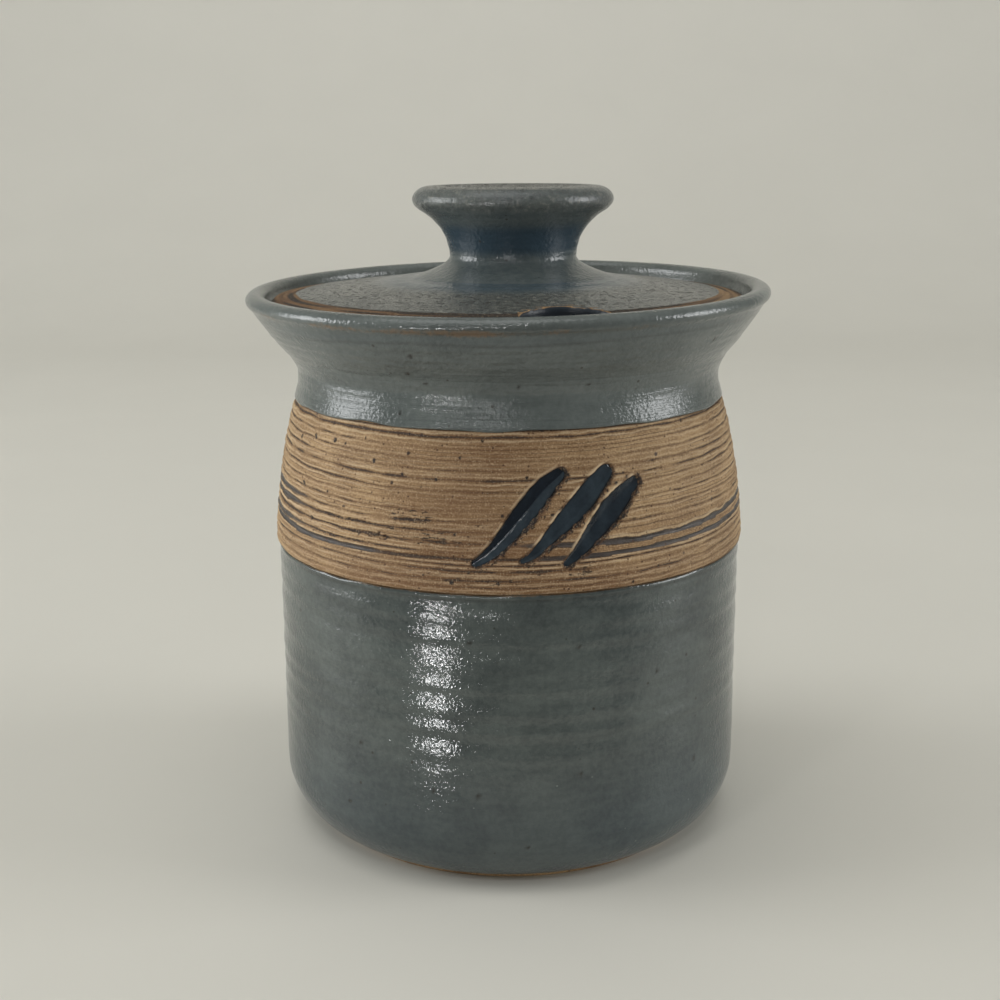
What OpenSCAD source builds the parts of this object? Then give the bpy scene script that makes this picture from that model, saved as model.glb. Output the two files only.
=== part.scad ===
// A wheel-thrown stoneware honey pot: a jar with a flared collar and a gallery,
// and a lid with a mushroom knob and a round spoon notch.
// Millimetres, +Z up, the origin at the middle of the foot. The strokes in the band face -Y.

/* [Jar wall] */
// Diameter of the lower wall, over its glaze
body_d = 95.4; // [84:0.2:104]
// Height from the foot to the lower edge of the bare band
lower_h = 60.1; // [40:0.1:90]
// Radius of the turned-in corner above the foot
corner_r = 12.7; // [10:0.1:18]
// How far the foot stands in from the lower wall
foot_in = 8.2; // [5:0.1:9.8]
// Height of the bare clay edge at the foot
foot_edge_h = 0.9; // [0.4:0.1:2]
// Width of the ring that the jar stands on
foot_ring_w = 6; // [3:0.5:10]
// Depth of the turned recess inside that ring
foot_recess = 1.5; // [0.5:0.1:3]
// Thickness of the wall
wall = 4.6; // [3:0.1:6]
// Thickness of the floor, up to the inside
floor_t = 6.5; // [5:0.1:10]
// Radius of the corner between the floor and the wall inside
floor_round = 10; // [4:0.5:16]

/* [Bare band] */
// Height of the bare clay band
band_h = 28.9; // [18:0.1:40]
// How far the band stands proud of the lower wall
band_step = 0.5; // [0.2:0.05:1]
// How far the wall leans in over the height of the band
shoulder_in = 4.75; // [2:0.05:8]
// Width of each incised line that borders the band
line_w = 0.5; // [0.3:0.05:1]
// Depth of each incised line
line_depth = 0.35; // [0.2:0.05:0.6]
// Distance between the two lines at the top of the band
line_gap = 1.1; // [0.8:0.05:2]

/* [Cut strokes] */
// Width of a cut stroke at its head
stroke_w = 3.6; // [2:0.1:5]
// Width of a cut stroke at its tail
tail_w = 1; // [0.6:0.1:1.8]
// Depth of a cut stroke below the clay
stroke_depth = 1.3; // [0.8:0.05:2]
// How far the glaze in a stroke lies below the clay
pool_below = 0.4; // [0.2:0.05:0.5]

/* [Collar and gallery] */
// Diameter over the rim
rim_d = 105; // [98:0.2:124]
// How far the waist lies inside the top of the band
waist_in = 0.8; // [0.2:0.05:3]
// Height from the top of the band to the waist
neck_h = 4.8; // [2:0.1:10]
// Height from the waist to the middle of the lip
flare_h = 15.55; // [10:0.05:24]
// Thickness of the lip
lip_w = 4; // [3:0.1:6]
// Height of the lip's round top above its middle
lip_h = 1.55; // [1:0.05:3]
// Depth of the gallery, from the middle of the lip to the seat
gallery_depth = 4.45; // [3:0.05:7]
// How far the gallery wall leans in from the lip to the seat
gallery_lean = 2.2; // [0.5:0.1:3]
// Width of the seat that carries the lid
seat_w = 4; // [3:0.1:6]
// Radius of the seat's corners
seat_round = 0.6; // [0.3:0.05:1]

/* [Lid] */
// Gap between the lid's edge and the gallery wall
lid_play = 0.6; // [0.4:0.05:1.5]
// Height of the lid's top edge above the seat
lid_edge_h = 4.1; // [3:0.05:6]
// Rise of the lid's top from that edge to the middle
lid_rise = 3.4; // [1:0.05:8]
// Radius of the lid's rounded edge
lid_round = 0.9; // [0.4:0.05:1.3]
// Thickness of the lid over its hollow underside
lid_t = 4.2; // [3:0.1:6]
// Width of the flat ring under the lid's edge
lid_ring_w = 4.8; // [3.5:0.1:8]
// Width of the bare ring round the lid's top
bare_ring_w = 3.6; // [1.5:0.1:8]
// Diameter of the spoon notch
notch_d = 18.4; // [8:0.2:24]
// Where the notch is, in degrees round from the front
notch_turn = 13.5; // [-180:0.5:180]

/* [Knob] */
// Diameter of the knob
knob_d = 40.2; // [30:0.2:50]
// Diameter of the neck under the knob
knob_neck_d = 25.5; // [16:0.1:28]
// Diameter of the knob's foot where it meets the lid
knob_foot_d = 41.2; // [32:0.2:42]
// Height of the foot, from the lid up to the neck
knob_foot_h = 4; // [2:0.1:8]
// Height of the straight neck
knob_neck_h = 0.9; // [0.4:0.1:3]
// Height from the neck to the knob's widest place
knob_flare_h = 10.4; // [6:0.1:16]
// Height from the widest place to the top
knob_cap_h = 2.7; // [1.5:0.1:5]
// Width of the knob's rounded rim
knob_rim_w = 3.6; // [2:0.1:6]
// Depth of the dish in the knob's top
dish_depth = 1.2; // [0.4:0.1:1.6]
// How far the knob was thrown off the lid's centre
knob_offset = 1.1; // [0:0.1:2]

/* [Glaze] */
// Thickness of the glaze coats
glaze_t = 0.4; // [0.2:0.05:0.6]
// How far the collar's glaze stops above the seat
gallery_bare_h = 1.1; // [0.8:0.1:2]

/* [Hidden] */
$fn = 96;

clay = "burlywood";
glaze = "slategray";
glaze_dark = "darkslategray";

// How far a cutting tool runs past what it cuts
overrun = 2 * glaze_t;
// Steps in an arc, in a small corner, and between two points of a smooth curve
arc_steps = 10;
corner_steps = 4;
curve_steps = 4;
// Sides of a stroke's tool, and of the round surface that levels the glaze in it
stroke_fn = 20;
pool_fn = 480;

body_r = body_d / 2;
foot_r = body_r - foot_in;
foot_ring_r = foot_r - foot_ring_w;
rim_r = rim_d / 2;
band_z = lower_h;
band_bottom_r = body_r + band_step;
band_top_r = band_bottom_r - shoulder_in;
band_top_z = band_z + band_h;
waist_r = band_top_r - waist_in;
waist_z = band_top_z + neck_h;
inner_waist_r = waist_r - wall;
rim_z = waist_z + flare_h;
lip_r = rim_r - lip_w / 2;
seat_z = rim_z - gallery_depth;
seat_r = rim_r - lip_w - gallery_lean;
seat_inner_r = seat_r - seat_w;

// The corner above the foot turns in by this angle, from a centre at this height
corner_turn = acos((foot_r - body_r + corner_r) / corner_r);
corner_z = foot_edge_h + corner_r * sin(corner_turn);

// The band's lean follows this power of its height, and it is drawn at these shares of the height
band_power = 1.75;
band_shares = [for (i = [0:10]) i / 10];
liner_band_shares = [0.8, 0.6, 0.4, 0.2, 0];
// From the band up to the waist: shares of the way in and of the neck's height
neck_shares = [[0.15, 0.2], [0.9, 0.75]];
// The flare from the waist to the lip: shares of its height and of its reach
flare_shares = [[0, 0], [0.085, 0.015], [0.15, 0.06], [0.21, 0.112], [0.28, 0.175], [0.34, 0.255],
                [0.47, 0.425], [0.6, 0.575], [0.79, 0.78], [0.91, 0.905]];
// The lip's round starts this many degrees under its widest place
lip_turn = 25;
// The inside of the neck under the seat: shares of the way from the seat in and down to the waist
throat_shares = [[0.28, 0.2], [0.72, 0.5], [0.94, 0.8], [1, 1]];
shoulder_drop_share = 0.5;
// Each stroke's head and tail, in degrees round from the front, and as shares of the band's height
stroke_turns = [[9.6, -7.6], [21.2, 4], [27.6, 12.6]];
stroke_height_shares = [[0.72, 0.2], [0.71, 0.24], [0.63, 0.2]];
// Where along a stroke its middle is, how wide it is there, and how deep its tail runs under the glaze
stroke_middle_share = 0.45;
stroke_middle_w_share = 0.92;
stroke_tail_depth_share = 0.4;
// The lid's top from its edge in to its land: shares of the way out and of the rise
lid_top_shares = [[1, 0], [0.91, 0.12], [0.75, 0.28], [0.58, 0.43], [0.34, 0.63], [0.09, 0.87], [0, 1]];
// The knob's foot from the lid up to the neck: shares of the way in and of its height
knob_foot_shares = [[0, 0], [0.3, 0.2], [0.53, 0.37], [0.75, 0.57], [0.92, 0.79], [1, 1]];
// The knob's underside from the neck to its widest place: shares of the height and of the reach
knob_flare_shares = [[0, 0], [0.16, 0.05], [0.36, 0.155], [0.55, 0.345], [0.74, 0.645],
                     [0.84, 0.86], [0.93, 0.97], [1, 1]];
// The knob's cap starts this many degrees above its widest place
knob_cap_turn = 9;
// The dish in the knob's top: shares of its radius and of its depth
dish_shares = [[0.9, 0.3], [0.6, 0.85], [0, 1]];

function mix(a, b, t) = a + (b - a) * t;
function reversed(p) = [for (i = [len(p) - 1:-1:0]) p[i]];

// Outlines are lists of [radius, height] points, and this draws a smooth one through the points of p
function between(a, b, c, d, t) = 0.5 * (2 * b + (c - a) * t + (2 * a - 5 * b + 4 * c - d) * t * t
                                         + (3 * b - a - 3 * c + d) * t * t * t);
function curve(p) = concat(
    [for (i = [0:len(p) - 2], j = [0:curve_steps - 1])
        between(p[max(i - 1, 0)], p[i], p[i + 1], p[min(i + 2, len(p) - 1)], j / curve_steps)],
    [p[len(p) - 1]]);

// An arc round a centre, from angle a to angle b, where 0 points outwards and 90 points up
function arc(c, rx, rz, a, b, steps = arc_steps) =
    [for (i = [0:steps]) c + [rx * cos(mix(a, b, i / steps)), rz * sin(mix(a, b, i / steps))]];

// The line that lies d to the left of p, which is under the glaze where p is the glazed surface
function left_of(p, d) = [for (i = [0:len(p) - 1])
    let (s = p[min(i + 1, len(p) - 1)] - p[max(i - 1, 0)])
        [p[i][0] == 0 ? 0 : p[i][0] - d * s[1] / norm(s), p[i][1] + d * s[0] / norm(s)]];

// The clay's outline under a coat of glaze, with the steps at the coat's two edges
function under_coat(p) = concat([p[0]], left_of(p, glaze_t), [p[len(p) - 1]]);

// Radius of the band at a share of its height, and of the gallery wall at a height over the seat
function band_r(share) = band_bottom_r - shoulder_in * pow(share, band_power);
function gallery_r(h) = seat_r + gallery_lean * h / gallery_depth;

// A line turned into the band at height h above its lower edge
function incised_line(h) = [for (side = [-1, 0, 1])
    [band_r((h + side * line_w / 2) / band_h) - line_depth * (1 - abs(side)),
     band_z + h + side * line_w / 2]];

// The jar's outline in stretches, up the outside, over the lip and down the inside to the floor
foot_line = [[0, foot_recess], [foot_ring_r - foot_recess, foot_recess], [foot_ring_r, 0], [foot_r, 0]];

lower_line = concat(
    arc([body_r - corner_r, corner_z], corner_r, corner_r, -corner_turn, 0),
    [[body_r, band_z - line_w], [body_r - line_depth, band_z]]);

top_line_h = band_h - line_gap - line_w;
band_line = concat(
    [[band_bottom_r - line_depth, band_z], [band_bottom_r, band_z + line_w]],
    [for (share = band_shares) if (share * band_h > line_w && share * band_h < top_line_h - line_w)
        [band_r(share), band_z + share * band_h]],
    incised_line(top_line_h));

collar_line = concat(
    [[band_top_r - line_depth, band_top_z - line_w / 2], [band_top_r, band_top_z]],
    curve(concat([for (s = neck_shares) [band_top_r - waist_in * s[0], band_top_z + neck_h * s[1]]],
                 [for (s = flare_shares) [mix(waist_r, rim_r, s[1]), waist_z + flare_h * s[0]]])),
    arc([lip_r, rim_z], lip_w / 2, lip_h, -lip_turn, 180),
    [[gallery_r(gallery_bare_h), seat_z + gallery_bare_h]]);

seat_line = concat(
    [[gallery_r(seat_round), seat_z + seat_round], [seat_r - seat_round, seat_z]],
    arc([seat_inner_r + seat_round, seat_z - seat_round], seat_round, seat_round, 90, 180, corner_steps));

liner_line = concat(
    curve(concat([[seat_inner_r, seat_z - seat_round]],
                 [for (s = throat_shares)
                     [mix(seat_inner_r, inner_waist_r, s[0]), mix(seat_z, waist_z, s[1])]],
                 [[band_top_r - wall, band_top_z - neck_h * shoulder_drop_share]],
                 [for (share = liner_band_shares)
                     [band_r(share) - band_step - wall, band_z + share * band_h]])),
    arc([body_r - wall - floor_round, floor_t + floor_round], floor_round, floor_round, 0, -90),
    [[0, floor_t]]);

module turned(p, sides = $fn) { rotate_extrude($fn = sides) polygon(p); }

// A glaze coat lies between its surface and the clay under it
module coat(p) { turned(concat(p, reversed(left_of(p, glaze_t)))); }

// The tool that cuts a stroke, wide at its head and narrow at its tail
module stroke_ball(turn, share, w, depth) {
    rotate([0, 0, turn])
        translate([0, depth - w / 2 - band_r(share), band_z + share * band_h])
            sphere(d = w, $fn = stroke_fn);
}

module stroke(i) {
    turns = stroke_turns[i];
    shares = stroke_height_shares[i];
    hull() {
        stroke_ball(turns[0], shares[0], stroke_w, stroke_depth);
        stroke_ball(mix(turns[0], turns[1], stroke_middle_share),
                    mix(shares[0], shares[1], stroke_middle_share),
                    stroke_w * stroke_middle_w_share, stroke_depth);
        stroke_ball(turns[1], shares[1], tail_w,
                    mix(pool_below, stroke_depth, stroke_tail_depth_share));
    }
}

module stroke_glaze(i) {
    color(glaze_dark)
        intersection() {
            stroke(i);
            turned(concat([[0, band_z]],
                          [for (share = band_shares)
                              [band_r(share) - pool_below, band_z + share * band_h]],
                          [[0, band_top_z]]), pool_fn);
        }
}

module jar_body() {
    color(clay)
        difference() {
            turned(concat(foot_line, under_coat(lower_line), band_line, under_coat(collar_line),
                          seat_line, left_of(liner_line, glaze_t)));
            for (i = [0:len(stroke_turns) - 1]) stroke(i);
        }
}

module collar_glaze() { color(glaze) coat(collar_line); }

module lower_glaze() { color(glaze) coat(lower_line); }

module liner_glaze() { color(glaze_dark) coat(liner_line); }

// The lid fits the gallery with its play all round, and its land in the middle carries the knob
function lid_r(h) = gallery_r(h) - lid_play;
lid_widest_h = lid_edge_h - lid_round;
lid_top_r = lid_r(lid_widest_h) - lid_round;
lid_ring_r = lid_r(0) - lid_ring_w;
lid_land_r = knob_foot_d / 2 + knob_offset + glaze_t;
lid_land_z = seat_z + lid_edge_h + lid_rise;
bare_from_r = lid_top_r - bare_ring_w;

// The lid's top sunk by a depth, from the edge in, and its glazed part
function lid_top(sink) = curve([for (s = lid_top_shares)
    [mix(lid_land_r, lid_top_r, s[0]), seat_z + lid_edge_h + lid_rise * s[1] - sink]]);
glazed_top = [for (p = lid_top(0)) if (p[0] < bare_from_r) p];
clay_top = [for (p = glazed_top) p - [0, glaze_t]];
bare_edge = [bare_from_r, glazed_top[0][1]];
clay_edge = bare_edge - [0, glaze_t];

// The lid's outline in stretches, out along its hollow underside, round its edge and in over the top
lid_under = concat(
    [[0, lid_land_z - lid_t]],
    [for (p = reversed(lid_top(lid_t))) if (p[1] > seat_z + lid_round && p[0] < lid_ring_r) p],
    [[lid_ring_r, seat_z + lid_round], [lid_ring_r + lid_round, seat_z]]);

lid_edge = concat(
    [[lid_r(lid_round) - lid_round, seat_z], [lid_r(lid_round), seat_z + lid_round]],
    arc([lid_top_r, seat_z + lid_widest_h], lid_round, lid_round, 0, 90, corner_steps),
    [for (p = lid_top(0)) if (p[0] < lid_top_r && p[0] >= bare_from_r) p]);

module notch() {
    rotate([0, 0, notch_turn])
        translate([0, -lid_r(lid_widest_h), seat_z - overrun])
            cylinder(d = notch_d, h = lid_edge_h + lid_rise + 2 * overrun);
}

// The knob's outline, from the edge of its foot up to the middle of its dished top
knob_r = knob_d / 2;
knob_foot_r = knob_foot_d / 2;
knob_neck_r = knob_neck_d / 2;
knob_flare_z = lid_land_z + knob_foot_h + knob_neck_h;
knob_widest_z = knob_flare_z + knob_flare_h;
knob_top_z = knob_widest_z + knob_cap_h;
dish_r = knob_r - knob_rim_w;

knob_line = concat(
    curve([for (s = knob_foot_shares)
        [mix(knob_foot_r, knob_neck_r, s[0]), lid_land_z + knob_foot_h * s[1]]]),
    curve([for (s = knob_flare_shares)
        [mix(knob_neck_r, knob_r, s[1]), knob_flare_z + knob_flare_h * s[0]]]),
    arc([dish_r, knob_widest_z], knob_rim_w, knob_cap_h, knob_cap_turn, 90),
    curve([for (s = dish_shares) [dish_r * s[0], knob_top_z - dish_depth * s[1]]]));

// Under the glaze the knob's foot stands flat on the lid's land
land_clay_z = lid_land_z - glaze_t;
knob_clay_r = knob_foot_r - glaze_t;
knob_clay_line = concat(
    [[knob_clay_r, land_clay_z]],
    [for (p = left_of(knob_line, glaze_t)) if (p[1] > lid_land_z) p]);

module lid_disc() {
    color(clay)
        difference() {
            turned(concat(lid_under, lid_edge, [bare_edge, clay_edge], clay_top, [[0, land_clay_z]]));
            notch();
        }
}

module lid_knob() {
    color(clay)
        translate([knob_offset, 0, 0])
            turned(concat([[0, land_clay_z]], knob_clay_line));
}

module lid_glaze() {
    color(glaze) {
        difference() {
            turned(concat([[0, land_clay_z]], reversed(clay_top), [clay_edge, bare_edge],
                          glazed_top, [[0, lid_land_z]]));
            translate([knob_offset, 0, lid_land_z - overrun])
                cylinder(r = knob_clay_r, h = 2 * overrun);
            notch();
        }
        translate([knob_offset, 0, 0])
            turned(concat(knob_line, reversed(knob_clay_line)));
    }
}

jar_body();
collar_glaze();
lower_glaze();
liner_glaze();
stroke_glaze(0);  // left_stroke_glaze
stroke_glaze(1);  // middle_stroke_glaze
stroke_glaze(2);  // right_stroke_glaze
lid_disc();
lid_knob();
lid_glaze();
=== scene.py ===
# %% [markdown]
# A lidded honey pot, thrown in stoneware
#
# The pot is a jar with a bare clay band round its shoulder, and a lid with a mushroom knob. A grey-blue
# glaze covers the lower wall, the collar and the lid, and a dark glaze lies in three strokes cut through
# the band. Each piece here is a surface worked out with numpy on a grid: rows follow an outline from the
# bottom of the pot to its top, and columns go round it.

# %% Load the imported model
import math

import bpy
import numpy as np
from mathutils import Matrix, Vector


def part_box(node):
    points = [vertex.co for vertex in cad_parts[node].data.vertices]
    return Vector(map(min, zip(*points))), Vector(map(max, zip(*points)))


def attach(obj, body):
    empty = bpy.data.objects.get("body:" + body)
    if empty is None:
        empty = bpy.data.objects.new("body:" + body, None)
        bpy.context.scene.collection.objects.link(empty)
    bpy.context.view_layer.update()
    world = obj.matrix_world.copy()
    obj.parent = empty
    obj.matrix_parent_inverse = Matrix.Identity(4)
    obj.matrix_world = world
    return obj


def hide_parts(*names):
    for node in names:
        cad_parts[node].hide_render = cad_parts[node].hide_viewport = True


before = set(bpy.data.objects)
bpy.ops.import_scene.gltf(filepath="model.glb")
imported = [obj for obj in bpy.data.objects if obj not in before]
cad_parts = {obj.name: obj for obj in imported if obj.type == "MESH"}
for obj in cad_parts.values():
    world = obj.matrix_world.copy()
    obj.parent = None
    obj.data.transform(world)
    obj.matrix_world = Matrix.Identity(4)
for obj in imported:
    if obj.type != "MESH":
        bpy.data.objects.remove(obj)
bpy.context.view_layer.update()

print("nodes:", ", ".join(sorted(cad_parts)))

# %% [markdown]
# Sizes
#
# The model is in metres, but a potter thinks in millimetres, so every array here is in millimetres until
# it becomes a mesh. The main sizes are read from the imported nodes' boxes, so the pieces fit them.

# %% Main sizes, in millimetres
MM = 0.001


def box_mm(node):
    """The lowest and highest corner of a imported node, in millimetres."""
    low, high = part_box(node)
    return np.array(low) / MM, np.array(high) / MM


wall_low, wall_high = box_mm("lower_glaze")
collar_low, collar_high = box_mm("collar_glaze")
lid_low, lid_high = box_mm("lid_disc")
knob_low, knob_high = box_mm("lid_knob")
liner_low = box_mm("liner_glaze")[0]
coat_high = box_mm("lid_glaze")[1]

# Names that end in R are radii and those that end in Z are heights above the table. The bare band lies
# between BAND_Z and COLLAR_Z, and the collar's bead reaches a little below that.
GLAZE = 0.4
BEAD_BELOW = 0.25
BODY_R = wall_high[0]
FOOT_EDGE_Z = wall_low[2]
BAND_Z = wall_high[2]
COLLAR_Z = collar_low[2] + BEAD_BELOW
RIM_R = collar_high[0]
LIP_Z = collar_high[2]
SEAT_Z = lid_low[2]
LID_R = lid_high[0]
COAT_R = coat_high[0]
KNOB_X = (knob_low[0] + knob_high[0]) / 2
KNOB_R = 20.1
TOP_Z = coat_high[2]
FLOOR_Z = liner_low[2] + GLAZE
print("radii", BODY_R, RIM_R, LID_R, "heights", BAND_Z, COLLAR_Z, SEAT_Z, LIP_Z, TOP_Z)

# %% [markdown]
# Outlines
#
# A thrown pot is round, so its shape is one outline turned about its axis. An outline could be drawn as a
# Blender curve and spun, but as an array of radius and height it can be bent, offset and roughened with
# plain sums, and the columns can lie closer together where there is more to show.

# %% Outline helpers
def smooth(points, step):
    """A smooth curve through points, as points about one step apart. Between two points it is a cubic in the
    length along the chords, and its slope at each point is that of the parabola through its neighbours."""
    p = np.array(points, float)
    along = np.concatenate([[0], np.cumsum(np.hypot(*np.diff(p, axis=0).T))])
    slope = np.gradient(p, along, axis=0)
    s = np.linspace(0, along[-1], max(2, int(round(along[-1] / step)) + 1))
    k = np.clip(np.searchsorted(along, s, side="right") - 1, 0, len(along) - 2)
    h = (along[k + 1] - along[k])[:, None]
    u = (s - along[k])[:, None] / h
    return ((1 + 2 * u) * (1 - u) ** 2 * p[k] + u * (1 - u) ** 2 * h * slope[k]
            + u * u * (3 - 2 * u) * p[k + 1] + u * u * (u - 1) * h * slope[k + 1])


def sunk(outline, depth):
    """The outline moved to its left by depth, which is into the clay where the outline climbs the outside."""
    step = np.gradient(outline, axis=0)
    length = np.hypot(step[:, 0], step[:, 1])
    moved = outline + depth * np.stack([-step[:, 1], step[:, 0]], 1) / length[:, None]
    moved[outline[:, 0] == 0, 0] = 0
    return moved


def arc(centre_r, centre_z, wide, high, start, end, steps):
    """Points on an arc of an ellipse, from angle start to end in degrees. 0 points outwards, 90 up."""
    turn = np.radians(np.linspace(start, end, steps))
    return np.stack([centre_r + wide * np.cos(turn), centre_z + high * np.sin(turn)], 1)


def rise(x, low, high):
    """0 below low, 1 above high, and a smooth step between: 3t squared less 2t cubed."""
    t = np.clip((x - low) / (high - low), 0, 1)
    return t * t * (3 - 2 * t)


def bell(x, middle=0.0, half=1.0):
    """A bell of height 1 at the middle: e to the power of minus the square of the distance from there,
    counted in half widths."""
    return np.exp(-np.square((x - middle) / half))


def grain(angle, height, waves, length, seed, count=24):
    """Smooth noise of about unit size: a sum of cosines of angle and height, each with a whole number of
    waves round the pot, up to waves, and with a wavelength along the height of at least length."""
    rng = np.random.default_rng(seed)
    total = np.zeros(np.broadcast(angle, height).shape)
    for _ in range(count):
        n = rng.integers(0, waves + 1)
        k = rng.uniform(-1, 1) * 2 * math.pi / length
        total += np.cos(n * angle + k * height + rng.uniform(0, 2 * math.pi))
    return total * math.sqrt(2 / count)


def degrees_from(angle, middle=0.0):
    """How far an angle lies past a direction in degrees, between -180 and 180. The front is 0."""
    return (np.degrees(angle) - middle + 180) % 360 - 180


def from_mark(angle, z, turn, height, radius):
    """Distance from a spot, given by its degrees from the front and its height, on a wall of that radius."""
    return np.hypot(np.radians(degrees_from(angle, turn)) * radius, z - height)


def raised(base, *points):
    """Points of an outline, each given as its radius and its height above a base."""
    return np.array(points) + (0, base)


def grid(line, angle):
    """An outline's radius and height, each repeated for every angle: rows by columns."""
    return line[:, :1] + np.zeros(len(angle)), line[:, 1:] + np.zeros(len(angle))


# %% [markdown]
# From a grid to a mesh
#
# Every piece ends as one closed mesh. Columns always join round the pot. Rows either join in a ring, as in
# a coat of glaze with an inside and an outside, or they close in a point on the axis at both ends.

# %% Mesh builder
def build(name, x, y, z, poles=None, **fields):
    """Joins a grid of points, rows by columns, into a closed mesh called name. With poles, two points, the
    first and last row close in fans; without them the last row joins the first. Point i, j has the number i
    times the columns plus j, and each field becomes a point attribute."""
    rows, columns = x.shape
    points = np.stack([x, y, z], 2).reshape(-1, 3)
    last = rows - 1 if poles is not None else rows
    i, j = np.meshgrid(np.arange(last), np.arange(columns), indexing="ij")
    across = (j + 1) % columns
    up = (i + 1) % rows
    quads = np.stack([i * columns + j, i * columns + across, up * columns + across, up * columns + j], 2)
    loops = quads.reshape(-1)
    sizes = np.full(len(loops) // 4, 4)
    if poles is not None:
        ring = np.arange(columns)
        after = (ring + 1) % columns
        bottom = np.full(columns, len(points))
        top = bottom + 1
        base = (rows - 1) * columns
        fans = [np.stack([bottom, after, ring], 1), np.stack([base + ring, base + after, top], 1)]
        loops = np.concatenate([loops, fans[0].reshape(-1), fans[1].reshape(-1)])
        sizes = np.concatenate([sizes, np.full(2 * columns, 3)])
        points = np.concatenate([points, np.array(poles, float)])
    mesh = bpy.data.meshes.new(name)
    mesh.vertices.add(len(points))
    mesh.vertices.foreach_set("co", (points * MM).astype(np.float32).reshape(-1))
    mesh.loops.add(len(loops))
    mesh.loops.foreach_set("vertex_index", loops.astype(np.int32))
    mesh.polygons.add(len(sizes))
    starts = np.concatenate([[0], np.cumsum(sizes)[:-1]])
    mesh.polygons.foreach_set("loop_start", starts.astype(np.int32))
    mesh.polygons.foreach_set("loop_total", sizes.astype(np.int32))
    mesh.polygons.foreach_set("use_smooth", np.ones(len(sizes), bool))
    for field, values in fields.items():
        flat = np.broadcast_to(values, x.shape).reshape(-1)
        if poles is not None:
            flat = np.concatenate([flat, [flat[0], flat[-1]]])
        mesh.attributes.new(field, "FLOAT", "POINT").data.foreach_set("value", flat.astype(np.float32))
    mesh.update(calc_edges=True)
    mesh.validate()
    piece = bpy.data.objects.new(name, mesh)
    bpy.context.collection.objects.link(piece)
    print(f"{name}: {len(points)} points, {2 * len(sizes)} triangles at most")
    return piece


def place(r, angle, z, shift=0.0):
    """Radius, angle from the front towards +X, and height as x, y, z: shift + r sin a, minus r cos a, z."""
    return shift + r * np.sin(angle), -r * np.cos(angle), z + np.zeros_like(r)


def finish_piece(piece, body, slot, material, *nodes):
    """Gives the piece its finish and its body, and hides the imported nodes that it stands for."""
    piece.data.materials.append(material)
    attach(piece, body)
    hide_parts(*nodes)


# %% [markdown]
# Shader sums
#
# A finish is a small formula. This class wraps a socket, so that a sum or product of two of them is written
# as in Python and adds the Math nodes for it. Any other node comes from one method.

# %% The socket class
def plug(node, inputs):
    """Links a wire, or sets a value, on each of the listed inputs of a node."""
    for key, value in inputs.items():
        if isinstance(value, Wire):
            value.tree.links.new(value.socket, node.inputs[key])
        else:
            node.inputs[key].default_value = value


class Wire:
    """An output socket of a material. Sums, differences and products of wires and numbers add Math nodes."""

    def __init__(self, tree, socket=None):
        self.tree = tree
        self.socket = socket

    def node(self, kind, settings=None, inputs=None, output=0):
        """Adds a node of a type, gives it its settings and its inputs, and returns one of its outputs."""
        made = self.tree.nodes.new(kind)
        for key, value in (settings or {}).items():
            setattr(made, key, value)
        plug(made, inputs or {})
        return Wire(self.tree, made.outputs[output])

    def math(self, operation, *values):
        """A Math node on numbers or wires."""
        return self.node("ShaderNodeMath", {"operation": operation}, dict(enumerate(values)))

    def __add__(self, other):
        return self.math("ADD", self, other)

    def __sub__(self, other):
        return self.math("SUBTRACT", self, other)

    def __rsub__(self, other):
        return self.math("SUBTRACT", other, self)

    def __mul__(self, other):
        return self.math("MULTIPLY", self, other)

    __radd__ = __add__
    __rmul__ = __mul__

    def step(self, low, high):
        """0 below low, 1 above high, and a smooth step between."""
        return self.node("ShaderNodeMapRange", {"interpolation_type": "SMOOTHSTEP"},
                         {"Value": self, "From Min": low, "From Max": high})

    def blend(self, low, high):
        """The colour low where this number is 0, and the colour high where it is 1."""
        return self.node("ShaderNodeMix", {"data_type": "RGBA"}, {0: self, 6: low, 7: high}, output=2)

    def axis(self, number):
        """One of the three numbers of this vector."""
        return self.node("ShaderNodeSeparateXYZ", None, {0: self}, output=number)

    def field(self, name):
        """A point attribute of the mesh, as a number."""
        return self.node("ShaderNodeAttribute", {"attribute_name": name}, output="Fac")


def colour(red, green, blue):
    """A colour picked on a screen, from 0 to 255, as the linear colour that a shader needs."""
    picked = np.array([red, green, blue]) / 255
    linear = np.where(picked <= 0.04045, picked / 12.92, ((picked + 0.055) / 1.055) ** 2.4)
    return (*linear, 1.0)


def painted(base, *layers):
    """The base with layers over it, first to last: each is a colour from 0 to 255 and the share it covers."""
    for tint, share in layers:
        base = share.blend(base, colour(*tint))
    return base


# %% Finish helpers
def new_finish(name):
    """An empty material, its shader node and a wire into its tree. The wire carries millimetres."""
    material = bpy.data.materials.new(name)
    material.use_nodes = True
    tree = material.node_tree
    start = Wire(tree)
    object_place = start.node("ShaderNodeTexCoord", output="Object")
    millimetres = start.node("ShaderNodeVectorMath", {"operation": "SCALE"},
                             {0: object_place, "Scale": 1 / MM})
    return material, tree.nodes["Principled BSDF"], millimetres


def counted(place_mm, size, move, stretch=1):
    """A place counted in sizes, not millimetres, with level sizes stretched, and then moved."""
    level = 1 / (size * stretch)
    return place_mm.node("ShaderNodeVectorMath", {"operation": "MULTIPLY_ADD"},
                         {0: place_mm, 1: (level, level, 1 / size), 2: (move, move, move)})


def noise(place_mm, size, detail=3.0, rough=0.5, stretch=1, move=0.0):
    """Cloudy noise about 0.5, with features of a size in millimetres that stretch makes longer sideways."""
    at = counted(place_mm, size, move, stretch)
    return at.node("ShaderNodeTexNoise", None,
                   {"Vector": at, "Scale": 1.0, "Detail": detail, "Roughness": rough})


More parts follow.
